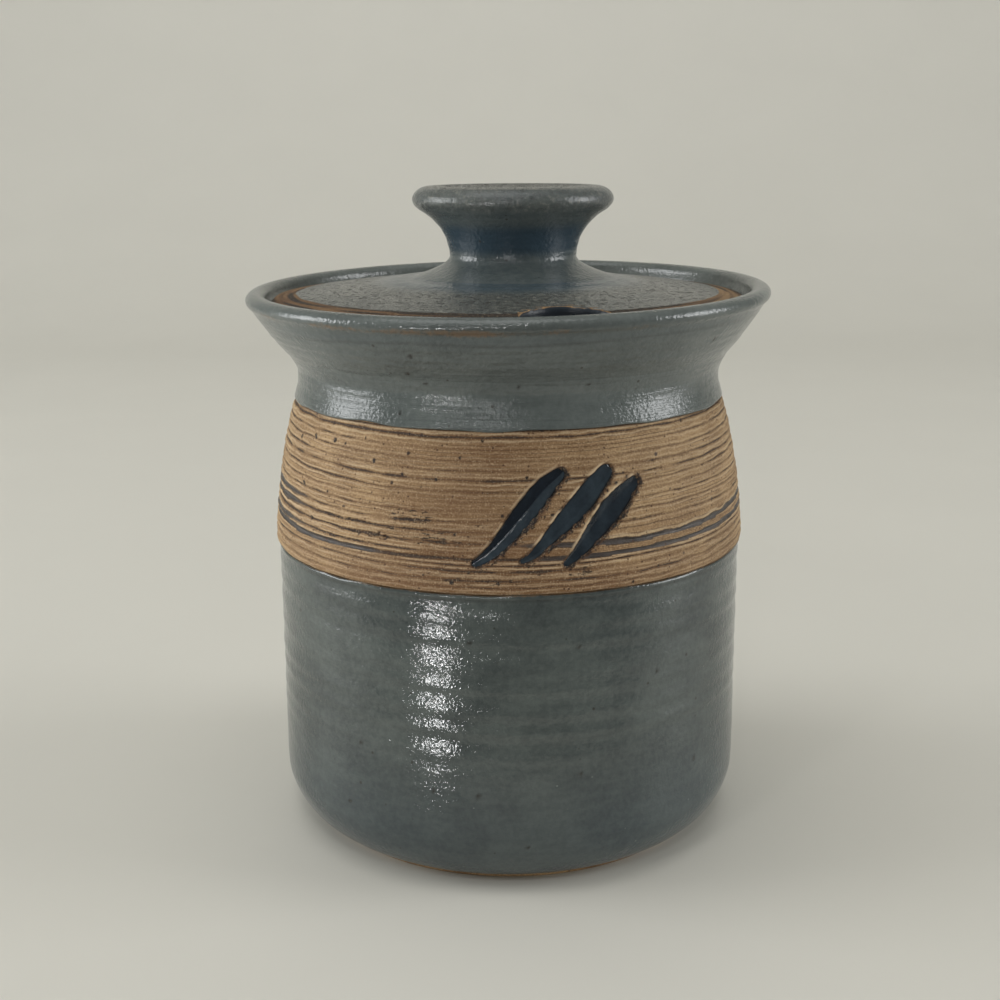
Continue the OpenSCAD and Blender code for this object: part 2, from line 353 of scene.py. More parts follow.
def spots(place_mm, size, share, radius, move=0.0):
    """Round spots in cells of a size in millimetres: a share of the cells has one, of up to that radius."""
    at = counted(place_mm, size, move)
    cell = {"Vector": at, "Scale": 1.0}
    away = at.node("ShaderNodeTexVoronoi", None, cell, output="Distance")
    tint = at.node("ShaderNodeTexVoronoi", None, cell, output="Color")
    pick = tint.node("ShaderNodeSeparateColor", None, {0: tint}, output=0)
    reach = pick.step(1 - share, 1.0) * (radius / size)
    return (reach - away).step(-0.03, 0.06)


def bump(height, depth):
    """A Bump node for a height from 0 to 1 that stands for a depth in millimetres."""
    return height.node("ShaderNodeBump", None, {"Height": height, "Distance": depth * MM, "Strength": 1.0})


# %% [markdown]
# The grey-blue glaze
#
# A reduction-fired ash glaze. Where it is thick it turns blue, where it is thin over an edge the iron in the
# clay breaks through brown, and everywhere it is clouded, streaked by the brush of the flame and dotted with
# iron. A picture texture would tile and blur, so all of it is layered noise in millimetres.

# %% Glaze finish
def glaze_finish(name, pale, deep, rough=0.1, turned=0.3, peel=1.5):
    """Fired glaze: two tones clouded and streaked, with iron specks. The attribute thin turns it brown, thick
    turns it deep blue, dry makes it grainy and pitted, and mark darkens it, both for the glaze's
    own flaws and as painted shade in grooves and on the lip's front. Level lines lie where scored is 1, by
    the share turned, and peel is the height of the orange-peel skin."""
    material, shader, mm = new_finish(name)
    cloud = noise(mm, 14, 3, 0.55)
    streak = noise(mm, 2.2, 3, 0.6, stretch=5, move=3.1)
    mottle = noise(mm, 1.1, 4, 0.65, move=7.7)
    lines = noise(mm, 0.5, 3, 0.6, stretch=40, move=15.0)
    grains = noise(mm, 1.2, 4, 0.75, move=11.3)
    skin = noise(mm, 0.85, 2, 0.5, move=1.9)
    fine = noise(mm, 0.4, 2, 0.6, move=4.4)
    dry = mm.field("dry")
    scored = mm.field("scored") * turned
    tone = cloud.step(0.35, 0.65) * 0.4 + streak.step(0.3, 0.7) * 0.25 + mottle.step(0.3, 0.7) * 0.35
    pits = grains.step(0.5, 0.64) * dry
    broken = (mm.field("thin") + (mottle - 0.5) * 1.2 + (streak - 0.5) * 0.5).step(0.4, 0.95)
    flecks = mm.math("MAXIMUM", spots(mm, 2.6, 0.3, 0.34), spots(mm, 6.5, 0.25, 0.6, move=5.2))
    base = painted(
        tone.blend(colour(*deep), colour(*pale)),
        ((50, 67, 79), mm.field("thick") * (0.75 + 0.25 * mottle)),
        ((48, 52, 52), lines.step(0.55, 0.75) * scored * 0.35),
        ((84, 79, 69), dry * (0.2 + 0.5 * cloud)),
        ((46, 43, 38), pits * 0.8),
        ((136, 134, 124), (1 - grains.step(0.36, 0.46)) * dry * 0.75),
        ((116, 90, 62), broken * 0.65),
        ((46, 40, 32), flecks * 0.7),
        ((138, 144, 140), spots(mm, 2.2, 0.22, 0.2, move=14.0) * 0.45),
        ((34, 29, 24), mm.field("mark") * 0.9))
    height = skin * peel * (1 - 0.6 * dry) + fine * 0.4 + lines * scored * 1.7 - grains * dry * 3.0
    plug(shader, {"Base Color": base, "Normal": bump(height, 0.10),
                  "Roughness": rough + mottle * 0.08 + pits * 0.3 + broken * 0.12})
    return material


wall_glaze = glaze_finish("grey_glaze_wall", (89, 95, 91), (59, 64, 63), rough=0.05, turned=0.15, peel=1.0)
collar_glaze = glaze_finish("grey_glaze_collar", (105, 110, 106), (80, 85, 82), rough=0.09, turned=1.0)
lid_glaze = glaze_finish("grey_glaze_lid", (96, 102, 99), (66, 75, 78), rough=0.16)
liner_glaze = glaze_finish("liner_glaze", (84, 92, 92), (56, 64, 66))
print("glazes:", wall_glaze.name, collar_glaze.name, lid_glaze.name, liner_glaze.name)

# %% [markdown]
# The bare clay
#
# The band, the foot's edge, the seat and the lid's rim are unglazed stoneware: tan, sandy and dry, with fine
# turned lines, iron specks and a dark wash that stays in the grooves. The grooves are in the mesh, and its
# attributes say where the wash and the scored lines lie.

# %% Clay and pool finishes
def clay_finish(name):
    """Bare stoneware. The attribute rib is the height, or the radius on the lid, that turned lines follow. A
    scored line lies where the attribute level is whole: the distance from there times sharp counts in half
    widths, dark says how much iron it holds, and cool where it is a grey stripe. Just beside a line the clay
    is painted pale, a painted highlight on the ridge. The attributes stain and rust tint
    the clay with iron and also hold painted shade on the band's front and on the lid's bare ring, torn and
    crumb pit it, pale is the lip of a cut, and glazed makes it blue-black and glossier."""
    material, shader, mm = new_finish(name)
    turned = mm.node("ShaderNodeCombineXYZ", None, {0: mm.axis(0), 1: mm.axis(1), 2: mm.field("rib")})
    cloud = noise(mm, 9, 3, 0.6)
    lines = noise(turned, 0.36, 4, 0.7, stretch=30, move=2.0)
    bands = noise(turned, 1.3, 3, 0.6, stretch=20, move=8.0)
    streaks = noise(turned, 0.4, 4, 0.65, stretch=9, move=21.0)
    patches = noise(turned, 2.0, 3, 0.6, stretch=9, move=41.0)
    cracks = noise(turned, 0.42, 2, 0.5, stretch=4, move=12.0)
    crumbs = noise(mm, 0.6, 2, 0.5, move=17.0)
    grit = noise(mm, 0.45, 3, 0.7, move=6.0)
    sand = noise(mm, 0.28, 2, 0.7, move=31.0)
    small = spots(mm, 0.9, 0.45, 0.22)
    large = spots(mm, 3.0, 0.4, 0.42, move=5.0)
    level, sharp, dark, cool = mm.field("level"), mm.field("sharp"), mm.field("dark"), mm.field("cool")
    torn, stain, glazed = mm.field("torn"), mm.field("stain"), mm.field("glazed")
    tone = cloud.step(0.3, 0.7) * 0.35 + bands.step(0.3, 0.7) * 0.25 + grit.step(0.3, 0.7) * 0.4
    across = level.math("PINGPONG", level, 0.5) * sharp * (1 - 0.5 * torn)
    across = across + (grit - 0.5) * (0.8 + 1.3 * torn) + (streaks - 0.5) * 0.5
    hair = level.math("PINGPONG", level * 3, 0.5) * 7 + (grit - 0.5) * 1.1
    core = (dark * (1 - across.step(0.1, 1.05)) + (streaks - 0.5) * 0.2).step(0.4, 0.85)
    stripe = (cool * (1 - across.step(0.7, 1.2)) + (streaks - 0.5) * 0.3).step(0.2, 0.6)
    rim = across.step(0.6, 0.95) * (1 - across.step(1.05, 1.5)) * cool
    # The attribute stain also holds painted shade on the front of the lid's bare ring, so this layer and the
    # near-black layer made from the same attribute paint that shade there.
    wash_and_shade = (stain + (grit - 0.5) * 0.5 + (lines - 0.5) * 0.5).step(0.1, 0.75)
    tear = (cracks + torn * 0.32 - 0.27).step(0.49, 0.56)
    tear = tear.math("MAXIMUM", tear, (crumbs + mm.field("crumb") * 0.25 - 0.2).step(0.52, 0.57))
    base = painted(
        tone.blend(colour(116, 87, 56), colour(184, 154, 113)),
        ((104, 70, 40), mm.field("rust") * (0.45 + 0.5 * streaks)),
        ((110, 78, 48), lines.step(0.54, 0.74) * 0.35),
        ((92, 66, 43), (1 - hair.step(0.1, 1.3)) * (patches.step(0.4, 0.6) * sharp.step(0.0, 1.0)) * 0.9),
        # Painted highlight: a pale band beside each dark line, where the crest of the ridge catches the
        # light.
        ((212, 188, 152), dark * across.step(1.0, 1.7) * (1 - across.step(1.9, 3.0)) * 0.45),
        ((98, 70, 46), dark * (1 - across.step(0.0, 1.5)) * 0.95),
        ((46, 36, 30), core * 0.85),
        ((70, 65, 62), stripe * 0.9),
        ((32, 28, 28), stripe * streaks.step(0.5, 0.62) * 0.75),
        ((36, 30, 28), rim.step(0.2, 0.7) * 0.75),
        ((84, 57, 36), wash_and_shade * 0.85),
        ((27, 22, 20), (stain + (grit - 0.5) * 0.4).step(0.6, 0.95)),
        ((38, 27, 21), tear * 0.9),
        ((92, 66, 43), sand.step(0.52, 0.7) * (0.55 - 0.4 * stripe)),
        ((214, 190, 154), (1 - sand.step(0.3, 0.46)) * (0.35 - 0.3 * stripe)),
        ((72, 46, 29), small * 0.85),
        ((48, 31, 22), large * 0.85),
        ((206, 182, 148), mm.field("pale") * (1.2 - 0.5 * grit)),
        ((38, 45, 52), glazed))
    height = lines * 0.5 + bands * 0.7 + grit * 0.3 + sand * 0.2
    height = height - core * 0.4 - small * 0.1 + large * 0.15 - tear * 0.6
    plug(shader, {"Base Color": base, "Normal": bump(height, 0.16), "Specular IOR Level": 0.35,
                  "Roughness": 0.72 - stripe * 0.3 - large * 0.2 - glazed * 0.4})
    return material


def pool_finish(name):
    """The dark glaze that ran into the cuts: blue-black and glossy, lighter grey where the attribute tone is
    1, and brown at its thin edge. Tone holds each pool's own grey and a painted light on the slope right of
    its crease."""
    material, shader, mm = new_finish(name)
    mottle = noise(mm, 0.9, 3, 0.6)
    base = painted(mottle.blend(colour(10, 15, 22), colour(28, 36, 45)),
                   ((54, 65, 72), mm.field("tone") * (0.4 + 0.6 * mottle)),
                   ((22, 18, 16), mm.field("thin") * 0.8))
    plug(shader, {"Base Color": base, "Roughness": 0.06 + mottle * 0.14,
                  "Normal": bump(noise(mm, 0.8, 3, 0.55, move=2.0), 0.08)})
    return material


bare_clay = clay_finish("bare_clay")
pool_glaze = pool_finish("dark_glaze")
print("clay and pool finishes:", bare_clay.name, pool_glaze.name)

# %% [markdown]
# The columns and the jar's outline
#
# The grid's columns lie closer together at the front of the band, where the strokes and torn lines are, and
# round the spoon notch in the lid. The jar's outline comes in parts, one for each change of surface.

# %% Columns and the jar's outline
def columns_round(start, end, fine, coarse):
    """Angles once round the pot: fine degrees apart from start to end, and coarse degrees apart beyond."""
    return np.radians(np.concatenate([np.arange(start, end, fine), np.arange(end, start + 360, coarse)]))


jar_angle = columns_round(start=-80, end=80, fine=0.36, coarse=0.95)
lid_angle = columns_round(start=0, end=27, fine=0.15, coarse=0.75)
coat_angle = np.radians(np.arange(0, 360, 0.6))
liner_angle = np.radians(np.arange(0, 360, 0.9))
knob_angle = np.radians(np.arange(0, 360, 3))

CORNER_R = 12.7
FOOT_R = BODY_R - 8.2
CORNER_TURN = math.degrees(math.acos((FOOT_R - BODY_R + CORNER_R) / CORNER_R))
CORNER_Z = FOOT_EDGE_Z + CORNER_R * math.sin(math.radians(CORNER_TURN))
wall_line = np.vstack([arc(BODY_R - CORNER_R, CORNER_Z, CORNER_R, CORNER_R, -CORNER_TURN, 0, 14),
                       [[BODY_R, z] for z in (18, 26, 34, 42, 50, BAND_Z - 2.2, BAND_Z - 1.2)]])

BAND_R = BODY_R + 0.5
SHOULDER_IN = 4.75
BAND_H = COLLAR_Z - BAND_Z
BAND_TOP_R = BAND_R - SHOULDER_IN


def band_r(z):
    """The band's radius at a height: it leans in with the 1.75th power of the share of the band's height, and
    swells a little over the shoulder."""
    share = np.clip((z - BAND_Z) / BAND_H, 0, 1)
    return BAND_R - SHOULDER_IN * share ** 1.75 + 0.16 * bell(share, 0.78, 0.14)


WAIST_R = 42.65
WAIST_Z = COLLAR_Z + 4.8
LIP_W = 4.0
FLARE_H = 15.55
RIM_Z = WAIST_Z + FLARE_H
LIP_H = LIP_Z - RIM_Z
# Shares of the way up and out, from the waist to the rim
flare_shares = [(0.0, 0.0), (0.085, 0.015), (0.15, 0.06), (0.21, 0.112), (0.28, 0.175), (0.34, 0.255),
                (0.47, 0.425), (0.6, 0.575), (0.79, 0.78), (0.91, 0.905)]
GALLERY_BARE_Z = SEAT_Z + 1.1
GALLERY_R = 46.3
GALLERY_LEAN = 2.2

def gallery_r(z):
    """The gallery wall's radius at a height: it leans out from the seat to the lip."""
    return GALLERY_R + GALLERY_LEAN * (z - SEAT_Z) / (RIM_Z - SEAT_Z)


collar_line = np.vstack([
    raised(COLLAR_Z, (BAND_TOP_R - 0.02, 0.3), (BAND_TOP_R - 0.12, 1.0), (WAIST_R + 0.08, 3.6)),
    [[WAIST_R + (RIM_R - WAIST_R) * out, WAIST_Z + FLARE_H * up] for up, out in flare_shares],
    arc(RIM_R - LIP_W / 2, RIM_Z, LIP_W / 2, LIP_H, -25, 180, 13),
    [[gallery_r(each), each] for each in (RIM_Z - 1.5, GALLERY_BARE_Z + 0.5)]])
print("columns:", len(jar_angle), len(coat_angle), "waist", WAIST_R, WAIST_Z, "rim", RIM_R, RIM_Z)

# %% [markdown]
# The band's relief
#
# The band was left bare, scored with a wooden rib while the pot turned, and washed with iron. Grit dragged
# by the rib tore small craters. Each scored line is a height that wanders a little round the pot, with a
# width and a depth. Such lines are finer than the grid's rows. So the grid carries a smooth number, the
# level, that is whole on each line, and the finish draws a crisp line wherever it is whole.

# %% Scored lines
LINE_TURNS = (-75, -50, -30, -15, 0, 15, 30, 50, 72)
LINES = [
    # heights at those angles, darkness there in tenths, and in hundredths of a mm the half width on the
    # left and on the right and the depth
    ((61.7, 61.5, 61.4, 61.4, 61.4, 61.4, 61.4, 61.7, 62.2), (3, 3, 3, 5, 5, 4, 4, 3, 4), 26, 26, 5),
    ((63.4, 63.0, 62.8, 62.7, 62.6, 62.6, 62.7, 63.2, 64.0), (4, 4, 4, 5, 6, 6, 6, 4, 5), 30, 30, 7),
    ((65.0, 64.9, 64.7, 64.5, 64.3, 64.3, 64.5, 64.9, 65.4), (6, 6, 5, 7, 7, 6, 3, 3, 4), 34, 30, 10),
    ((65.8, 65.7, 65.6, 65.5, 65.4, 65.5, 65.7, 65.9, 66.6), (3, 2, 4, 6, 8, 9, 9, 9, 8), 18, 20, 14),
    ((66.8, 66.5, 66.5, 66.5, 66.6, 66.7, 66.8, 67.2, 67.9), (9, 10, 10, 10, 10, 10, 10, 10, 9), 52, 52, 26),
    ((68.3, 68.0, 67.7, 67.6, 67.6, 67.6, 67.8, 68.1, 68.9), (7, 7, 8, 4, 1, 0, 0, 0, 3), 24, 24, 12),
    ((70.0, 69.7, 69.5, 69.3, 69.2, 68.9, 68.6, 69.0, 70.0), (8, 8, 8, 6, 2, 6, 10, 10, 9), 26, 48, 18),
    ((71.9, 71.5, 71.3, 71.3, 71.5, 71.9, 72.3, 72.4, 72.4), (9, 8, 7, 5, 2, 3, 4, 4, 5), 30, 26, 18),
    ((73.6, 73.1, 72.8, 73.1, 73.5, 73.8, 74.2, 74.3, 74.3), (7, 5, 5, 5, 2, 3, 4, 3, 4), 28, 24, 14),
    ((75.5, 75.1, 74.8, 75.0, 75.4, 75.8, 76.2, 76.3, 76.4), (7, 5, 3, 2, 1, 2, 4, 5, 7), 26, 26, 10),
    ((77.1, 76.9, 76.6, 76.6, 76.8, 77.0, 77.4, 77.8, 78.2), (6, 4, 2, 1, 1, 1, 2, 3, 6), 26, 26, 7),
    ((79.3, 78.9, 78.4, 78.4, 78.4, 78.6, 79.0, 79.4, 79.9), (8, 7, 5, 4, 5, 5, 3, 4, 8), 28, 26, 14),
    ((81.4, 81.0, 80.5, 80.4, 80.4, 80.6, 80.8, 81.0, 81.2), (9, 8, 6, 7, 8, 8, 8, 8, 7), 38, 30, 18),
    ((83.0, 82.6, 82.2, 82.1, 82.1, 82.2, 82.3, 82.5, 82.8), (8, 5, 3, 3, 3, 2, 3, 5, 8), 28, 28, 10),
    ((84.8, 84.4, 84.0, 83.8, 83.8, 83.9, 84.1, 84.4, 84.9), (7, 4, 3, 2, 2, 2, 3, 4, 7), 26, 26, 9),
    ((86.5, 86.2, 85.9, 85.8, 85.8, 85.9, 86.1, 86.4, 86.8), (7, 5, 2, 2, 1, 1, 2, 4, 6), 26, 26, 9),
    ((88.3, 88.1, 87.9, 87.8, 87.9, 87.9, 88.1, 88.4, 88.8), (10, 10, 9, 9, 10, 10, 8, 7, 6), 34, 26, 24),
]
BROAD = 4
RIGHT_STRIPE = 6
END_GAP = 1.6
# The lines between these heights widen into grey stripes at the far left
WIDENED_Z = (66, 74)
# Iron specks: degrees from the front, height, size
SPECKS = [
    (-54.5, 84.8, 1.1), (-46.3, 85.0, 1.1), (-42.3, 84.8, 0.7), (-62.0, 84.0, 0.8), (-32.7, 82.6, 0.9),
    (-23.7, 84.7, 0.7), (-11.0, 84.4, 0.7), (-24.7, 80.8, 0.9), (-27.3, 79.2, 0.7), (-16.4, 80.4, 0.8),
    (-57.0, 75.7, 1.1), (-46.6, 75.5, 0.7), (-39.5, 78.6, 0.5), (-48.0, 88.0, 0.8), (4.0, 81.0, 0.9),
    (-32.5, 77.0, 0.5), (47.5, 88.3, 0.8), (35.4, 82.3, 0.6), (53.0, 79.4, 0.5), (-52.0, 69.8, 1.0),
    (-12.4, 62.3, 0.9), (-2.3, 62.3, 0.9), (34.8, 62.9, 0.8), (-8.7, 64.2, 0.8), (9.6, 74.4, 0.8),
    (-11.8, 70.9, 0.8), (28.0, 60.9, 0.7), (-6.0, 87.5, 0.7), (-24.0, 87.9, 0.6), (-36.0, 86.4, 0.5),
    (12.9, 81.9, 0.8), (13.5, 81.2, 0.7), (13.1, 80.3, 0.6), (-12.0, 66.9, 0.6), (24.8, 79.1, 0.9),
    (27.7, 80.0, 0.7), (29.6, 80.0, 0.7), (22.6, 77.9, 0.5), (7.9, 74.1, 0.6), (6.6, 75.2, 0.5),
    (17.8, 79.0, 0.5), (16.2, 71.0, 0.5), (1.5, 69.5, 0.6), (-1.4, 74.4, 0.6), (3.2, 77.5, 0.6),
]
# Where the rib tore the clay: degrees, height, half length in degrees, half height in mm, share torn
TORN = [
    (-22, 73.1, 6, 0.9, 1.0), (-40, 71.4, 10, 0.45, 1.0), (-34, 69.5, 11, 0.6, 1.0),
    (-15, 69.8, 8, 1.6, 0.75), (-22, 71.2, 9, 0.5, 0.8), (-7, 72.5, 5, 0.5, 0.7), (-42, 67.8, 14, 0.45, 0.8),
    (-22, 74.5, 5, 0.25, 0.9), (-9, 62.8, 16, 1.8, 0.4), (8, 64.0, 14, 1.4, 0.5), (30, 72.6, 8, 0.5, 0.4),
    (3, 69.6, 4, 1.4, 0.5), (160, 70.5, 20, 1.5, 0.6), (-130, 74.0, 15, 1.0, 0.6), (110, 80.0, 14, 0.6, 0.5),
]
# A burst bubble with a dark rim: degrees, height, radius
CRATER = (-29.0, 69.5, 0.75)


def scored_lines(angle, z):
    """The depth of the nearest scored line at each grid point, and five fields. The level climbs by one from
    each line to the next, so it is whole on a line. Sharp is the gap between two lines over the half width,
    dark is the iron that darkens the line, cool is 1 where it is a grey stripe, and rib is its height at the
    left. The depth is a bell of the distance from the line, counted in half widths."""
    degrees = degrees_from(angle)
    side = rise(degrees, -10, 20)
    heights = np.stack([np.interp(degrees, LINE_TURNS, line[0], period=360)
                        + 0.05 * grain(angle, 0, 40, 9, 100 + k, 12) for k, line in enumerate(LINES)])
    gaps = np.diff(heights, axis=0)
    level = np.minimum((z - heights[0]) / END_GAP, 0) + np.maximum((z - heights[-1]) / END_GAP, 0)
    for k, gap in enumerate(gaps):
        level = level + np.clip((z - heights[k]) / gap, 0, 1)
    nearest = np.clip(np.round(level), 0, len(LINES) - 1)
    gaps = [END_GAP, *gaps, END_GAP]
    dark, sharp, depth, cool = np.zeros((4, *level.shape))
    for k, (line_z, darkness, wide_left, wide_right, deep) in enumerate(LINES):
        far_left = rise(-degrees, 40, 75) * (WIDENED_Z[0] < line_z[0] < WIDENED_Z[1])
        worn = 1 + 0.2 * grain(angle, 0, 50, 9, 200 + k, 16)
        shade = (np.interp(degrees, LINE_TURNS, darkness, period=360) / 10) ** 0.7 * worn
        shade = np.clip(shade * (1 + 0.4 * far_left), 0, 1.2)
        wide = (wide_left + (wide_right - wide_left) * side) / 100 * (1 + 0.9 * far_left)
        wide = wide * (1 + 0.12 * grain(angle, 0, 70, 9, 300 + k, 16))
        gap = np.where(level > k, gaps[k + 1], gaps[k])
        grey = 0.75 * far_left
        if k == BROAD:
            grey = rise(-degrees, 20, 45) + 0.6 * side
        if k == RIGHT_STRIPE:
            grey = side
        here = nearest == k
        dark = np.where(here, shade, dark)
        sharp = np.where(here, gap / wide, sharp)
        depth = np.where(here, deep / 100 * shade * bell((level - k) * gap / wide, 0, 1.1), depth)
        cool = np.where(here, grey, cool)
    at_left = [line[0][0] for line in LINES]
    at_left = [at_left[0] - END_GAP, *at_left, at_left[-1] + END_GAP]
    rib = np.interp(level, np.arange(-1, len(LINES) + 1), at_left)
    return depth, {"level": level, "dark": dark, "sharp": sharp, "cool": cool, "rib": rib}


def torn_places(angle, z):
    """How badly the clay is torn: the largest of the listed bells over angle and height."""
    torn = np.zeros(np.broadcast(angle, z).shape)
    for middle, height, long, high, share in TORN:
        across = degrees_from(angle, middle) / long
        torn = np.maximum(torn, share * bell(across ** 2) * bell(z, height, high))
    return torn


print("scored lines:", len(LINES), "specks:", len(SPECKS))

# %% [markdown]
# The three strokes
#
# Each stroke was cut with a loop tool in one sweep, from a blunt head at the upper right down to a tapered
# tail. The tool pushed up a pale lip on its left and tore crumbs on its right. A stroke is the set of
# points nearer to its middle line than its half width there, measured on the wall unrolled flat.

# %% Stroke outlines
STROKES = {
    # degrees, height and half width along the middle line
    "left_stroke_glaze": [(11.2, 81.3, 1.3), (8.5, 79.5, 1.9), (4.9, 76.2, 2.1), (1.9, 73.2, 2.1),
                          (-0.9, 70.4, 1.85), (-3.2, 68.3, 1.55), (-5.2, 66.9, 1.2), (-7.2, 65.8, 0.75)],
    "middle_stroke_glaze": [(22.4, 81.1, 1.55), (20.4, 79.6, 2.0), (16.5, 76.3, 2.15), (12.5, 73.2, 2.05),
                            (9.1, 70.5, 1.7), (6.6, 68.3, 1.25), (4.7, 67.0, 0.95), (3.0, 66.3, 0.55)],
    "right_stroke_glaze": [(29.6, 78.8, 1.25), (27.2, 77.3, 1.95), (23.2, 74.4, 2.35), (19.6, 71.4, 2.1),
                           (17.0, 69.0, 1.7), (14.8, 67.1, 1.2), (12.6, 65.5, 0.7)],
}
# How pale the lip on its left is, how grey its glaze is, how much lighter grey the slope right of the crease
# is painted, a painted light as that slope faces the light, where the crease lies at the head and at the
# tail, from -1 at the left edge to 1 at the right, and its depth
STROKE_LOOKS = {
    "left_stroke_glaze": (0.55, 0.0, 0.9, 0.3, -0.3, 0.7),
    "middle_stroke_glaze": (1.0, 0.7, 0.2, 0.5, 0.2, 0.35),
    "right_stroke_glaze": (1.0, 0.25, 0.15, 0.1, -0.5, 0.5),
}
STROKE_DEPTH = 1.25
POOL_BELOW = 0.30
FLAT_R = 46.6


def stroke_line(points, step=0.5):
    """The stroke's middle line unrolled flat, as across and height step mm apart, and its half widths."""
    p = np.array(points, float)
    line = smooth(np.stack([np.radians(p[:, 0]) * FLAT_R, p[:, 1]], 1), step)
    return line, np.interp(np.linspace(0, 1, len(line)), np.linspace(0, 1, len(p)), p[:, 2])


def stroke_distance(angle, z, line, half):
    """Distance outside the stroke's edge, negative inside, and how far right of its middle line a point is,
    from -1 to 1."""
    across = np.radians(degrees_from(angle)) * FLAT_R + np.zeros_like(z)
    away = np.full(across.shape, np.inf)
    right = np.zeros(across.shape)
    for (cx, cz), w in zip(line, half):
        d = np.hypot(across - cx, z - cz) - w
        nearer = d < away
        away = np.where(nearer, d, away)
        right = np.where(nearer, (across - cx) / (w + 0.3), right)
    return away, np.clip(right, -1, 1)


# %% The band's surface
def band_relief(angle, z):
    """How far the band's surface lies outside its plain outline, and the fields of its finish. First come the
    ridges between the scored lines, then the torn places, the specks and the crater, then the strokes."""
    degrees = degrees_from(angle) + np.zeros_like(z)
    depth, fields = scored_lines(angle, z)
    torn = torn_places(angle, z)
    ridges = 0.08 + 0.16 * rise(-degrees, 30, 60) * (1 - rise(z, 82, 86)) + 0.08 * rise(degrees, 45, 65)
    out = -depth + ridges * (np.abs(np.sin(math.pi * fields["level"])) ** 0.6 - 1)
    out += 0.04 * grain(angle, z, 30, 3.0, 21) + 0.02 * grain(angle, z, 150, 1.0, 22)
    crumbs = 0.6 * grain(angle, z, 90, 1.8, 41, 30) + 0.5 * grain(angle, z, 240, 0.8, 42, 40)
    out = out - 0.12 * torn * rise(crumbs, -0.2, 0.8)
    rust = (1 - rise(z, 62.0, 65.4)) * bell(degrees, -3, 48) + 0.35 * bell(z, 66, 5) * bell(degrees, 5, 50)
    stain = np.zeros(out.shape)
    for turn, height, size in SPECKS:
        away = from_mark(angle, z, turn, height, FLAT_R) / (size / 2) * (1 + 0.15 * crumbs)
        stain = np.maximum(stain, 1.1 * (1 - rise(away, 0.6, 1.2)))
        out = out + 0.05 * bell(away)
    turn, height, radius = CRATER
    ring = from_mark(angle, z, turn, height, FLAT_R) / radius
    out = out - 0.22 * bell(ring, 1, 0.28) + 0.12 * bell(ring, 0, 0.6)
    stain = np.maximum(stain, bell(ring - 0.2 * crumbs, 1, 0.3) * (0.8 + 0.4 * crumbs))
    # The extra rust round the front, 0.95 times a bell at -5 degrees, is partly the clay's browner tone and
    # partly painted shade: it darkens the middle of the band, which gets less light than its sides.
    fields.update(torn=torn, dark=np.maximum(fields["dark"], 0.9 * torn), stain=stain, pale=0 * stain,
                  crumb=0 * stain, rust=np.clip(rust + 0.95 * bell(degrees, -5, 24), 0, 1.1))
    for node, points in STROKES.items():
        away, right = stroke_distance(angle, z, *stroke_line(points))
        on_right = rise(right, -0.2, 0.8)
        ragged = away + 0.15 * crumbs * (0.4 + 0.8 * on_right)
        inside = rise(-ragged, -0.12, 0.08)
        cut = rise(-ragged, -0.05, 0.45)
        lip = bell(away, 0.27, 0.19) * rise(-right, -0.3, 0.4) * rise(z, 66.5, 69.5) * STROKE_LOOKS[node][0]
        lip = lip * rise(grain(angle, z, 40, 3.0, 43), -1.4, 0.0)
        burr = bell(away, 0.3, 0.3) * on_right * (0.3 + crumbs)
        halo = bell(away, 0.15, 0.2 + 0.25 * on_right) * (0.75 + 0.3 * crumbs)
        crumb = bell(away, 0.5, 0.5) * (0.25 + 0.45 * on_right) * (1 - inside)
        out = out * (1 - inside) + 0.16 * lip + 0.12 * burr - STROKE_DEPTH * cut
        for name in ("stain", "pale", "cool", "dark", "torn"):
            fields[name] = fields[name] * (1 - inside)
        fields["stain"] = np.maximum(fields["stain"] + inside, halo) * (1 - lip)
        fields["pale"] = np.maximum(fields["pale"], lip * (1 - inside))
        fields["crumb"] = np.maximum(fields["crumb"], crumb)
    groove = 0.6 * bell(z, BAND_Z + 0.05, 0.25) + bell(z, COLLAR_Z - 0.05, 0.22)
    fields["stain"] = np.maximum(fields["stain"], 0.9 * groove)
    return out - 0.4 * groove, fields


# %% The clay jar
WALL_T = 4.6
RECESS_Z = 1.5
CLAY_UNDER = 0.6
BAND_STEP = 0.3
clay_foot = np.array([[10, RECESS_Z], [20, RECESS_Z], [28, RECESS_Z], [32, 1.45], [33.2, 0.7], [33.7, 0.15],
                      [34.3, 0], [36.5, 0], [38.7, 0], [39.2, 0.15], [39.4, 0.45], [39.35, FOOT_EDGE_Z]])
clay_under_wall = sunk(smooth(wall_line, 5.5), 0.75)
band_z = np.arange(BAND_Z + 0.05, COLLAR_Z - 0.02, BAND_STEP)
band_line = np.stack([band_r(band_z), band_z], 1)
clay_under_collar = sunk(smooth(collar_line, 3.4), CLAY_UNDER)
clay_seat = raised(SEAT_Z, (46.82, 1.1), (46.6, 0.65), (46.42, 0.25), (46.1, 0.03), (45.4, 0), (44.2, 0),
                   (43.0, 0), (42.55, -0.12), (42.33, -0.45))

INNER_R = BODY_R - WALL_T
FLOOR_ROUND = 10
liner_line = np.vstack([
    [[42.28, SEAT_Z - 0.65], [41.1, 102.7], [39.3, 99.4], [38.3, 96.0], [WAIST_R - WALL_T, WAIST_Z - 0.6],
     [38.35, COLLAR_Z + 2.2]],
    [[band_r(z) - WALL_T - 0.5, z] for z in (86, 82, 77, 71, 65, 60)],
    [[INNER_R, z] for z in (50, 40, 30, 20)],
    arc(INNER_R - FLOOR_ROUND, FLOOR_Z + FLOOR_ROUND, FLOOR_ROUND, FLOOR_ROUND, 0, -90, 9),
    [[22, FLOOR_Z], [12, FLOOR_Z], [5, FLOOR_Z]]])
clay_under_liner = sunk(smooth(liner_line, 12), CLAY_UNDER)
RIM_TILT = (0.010, 0.018)


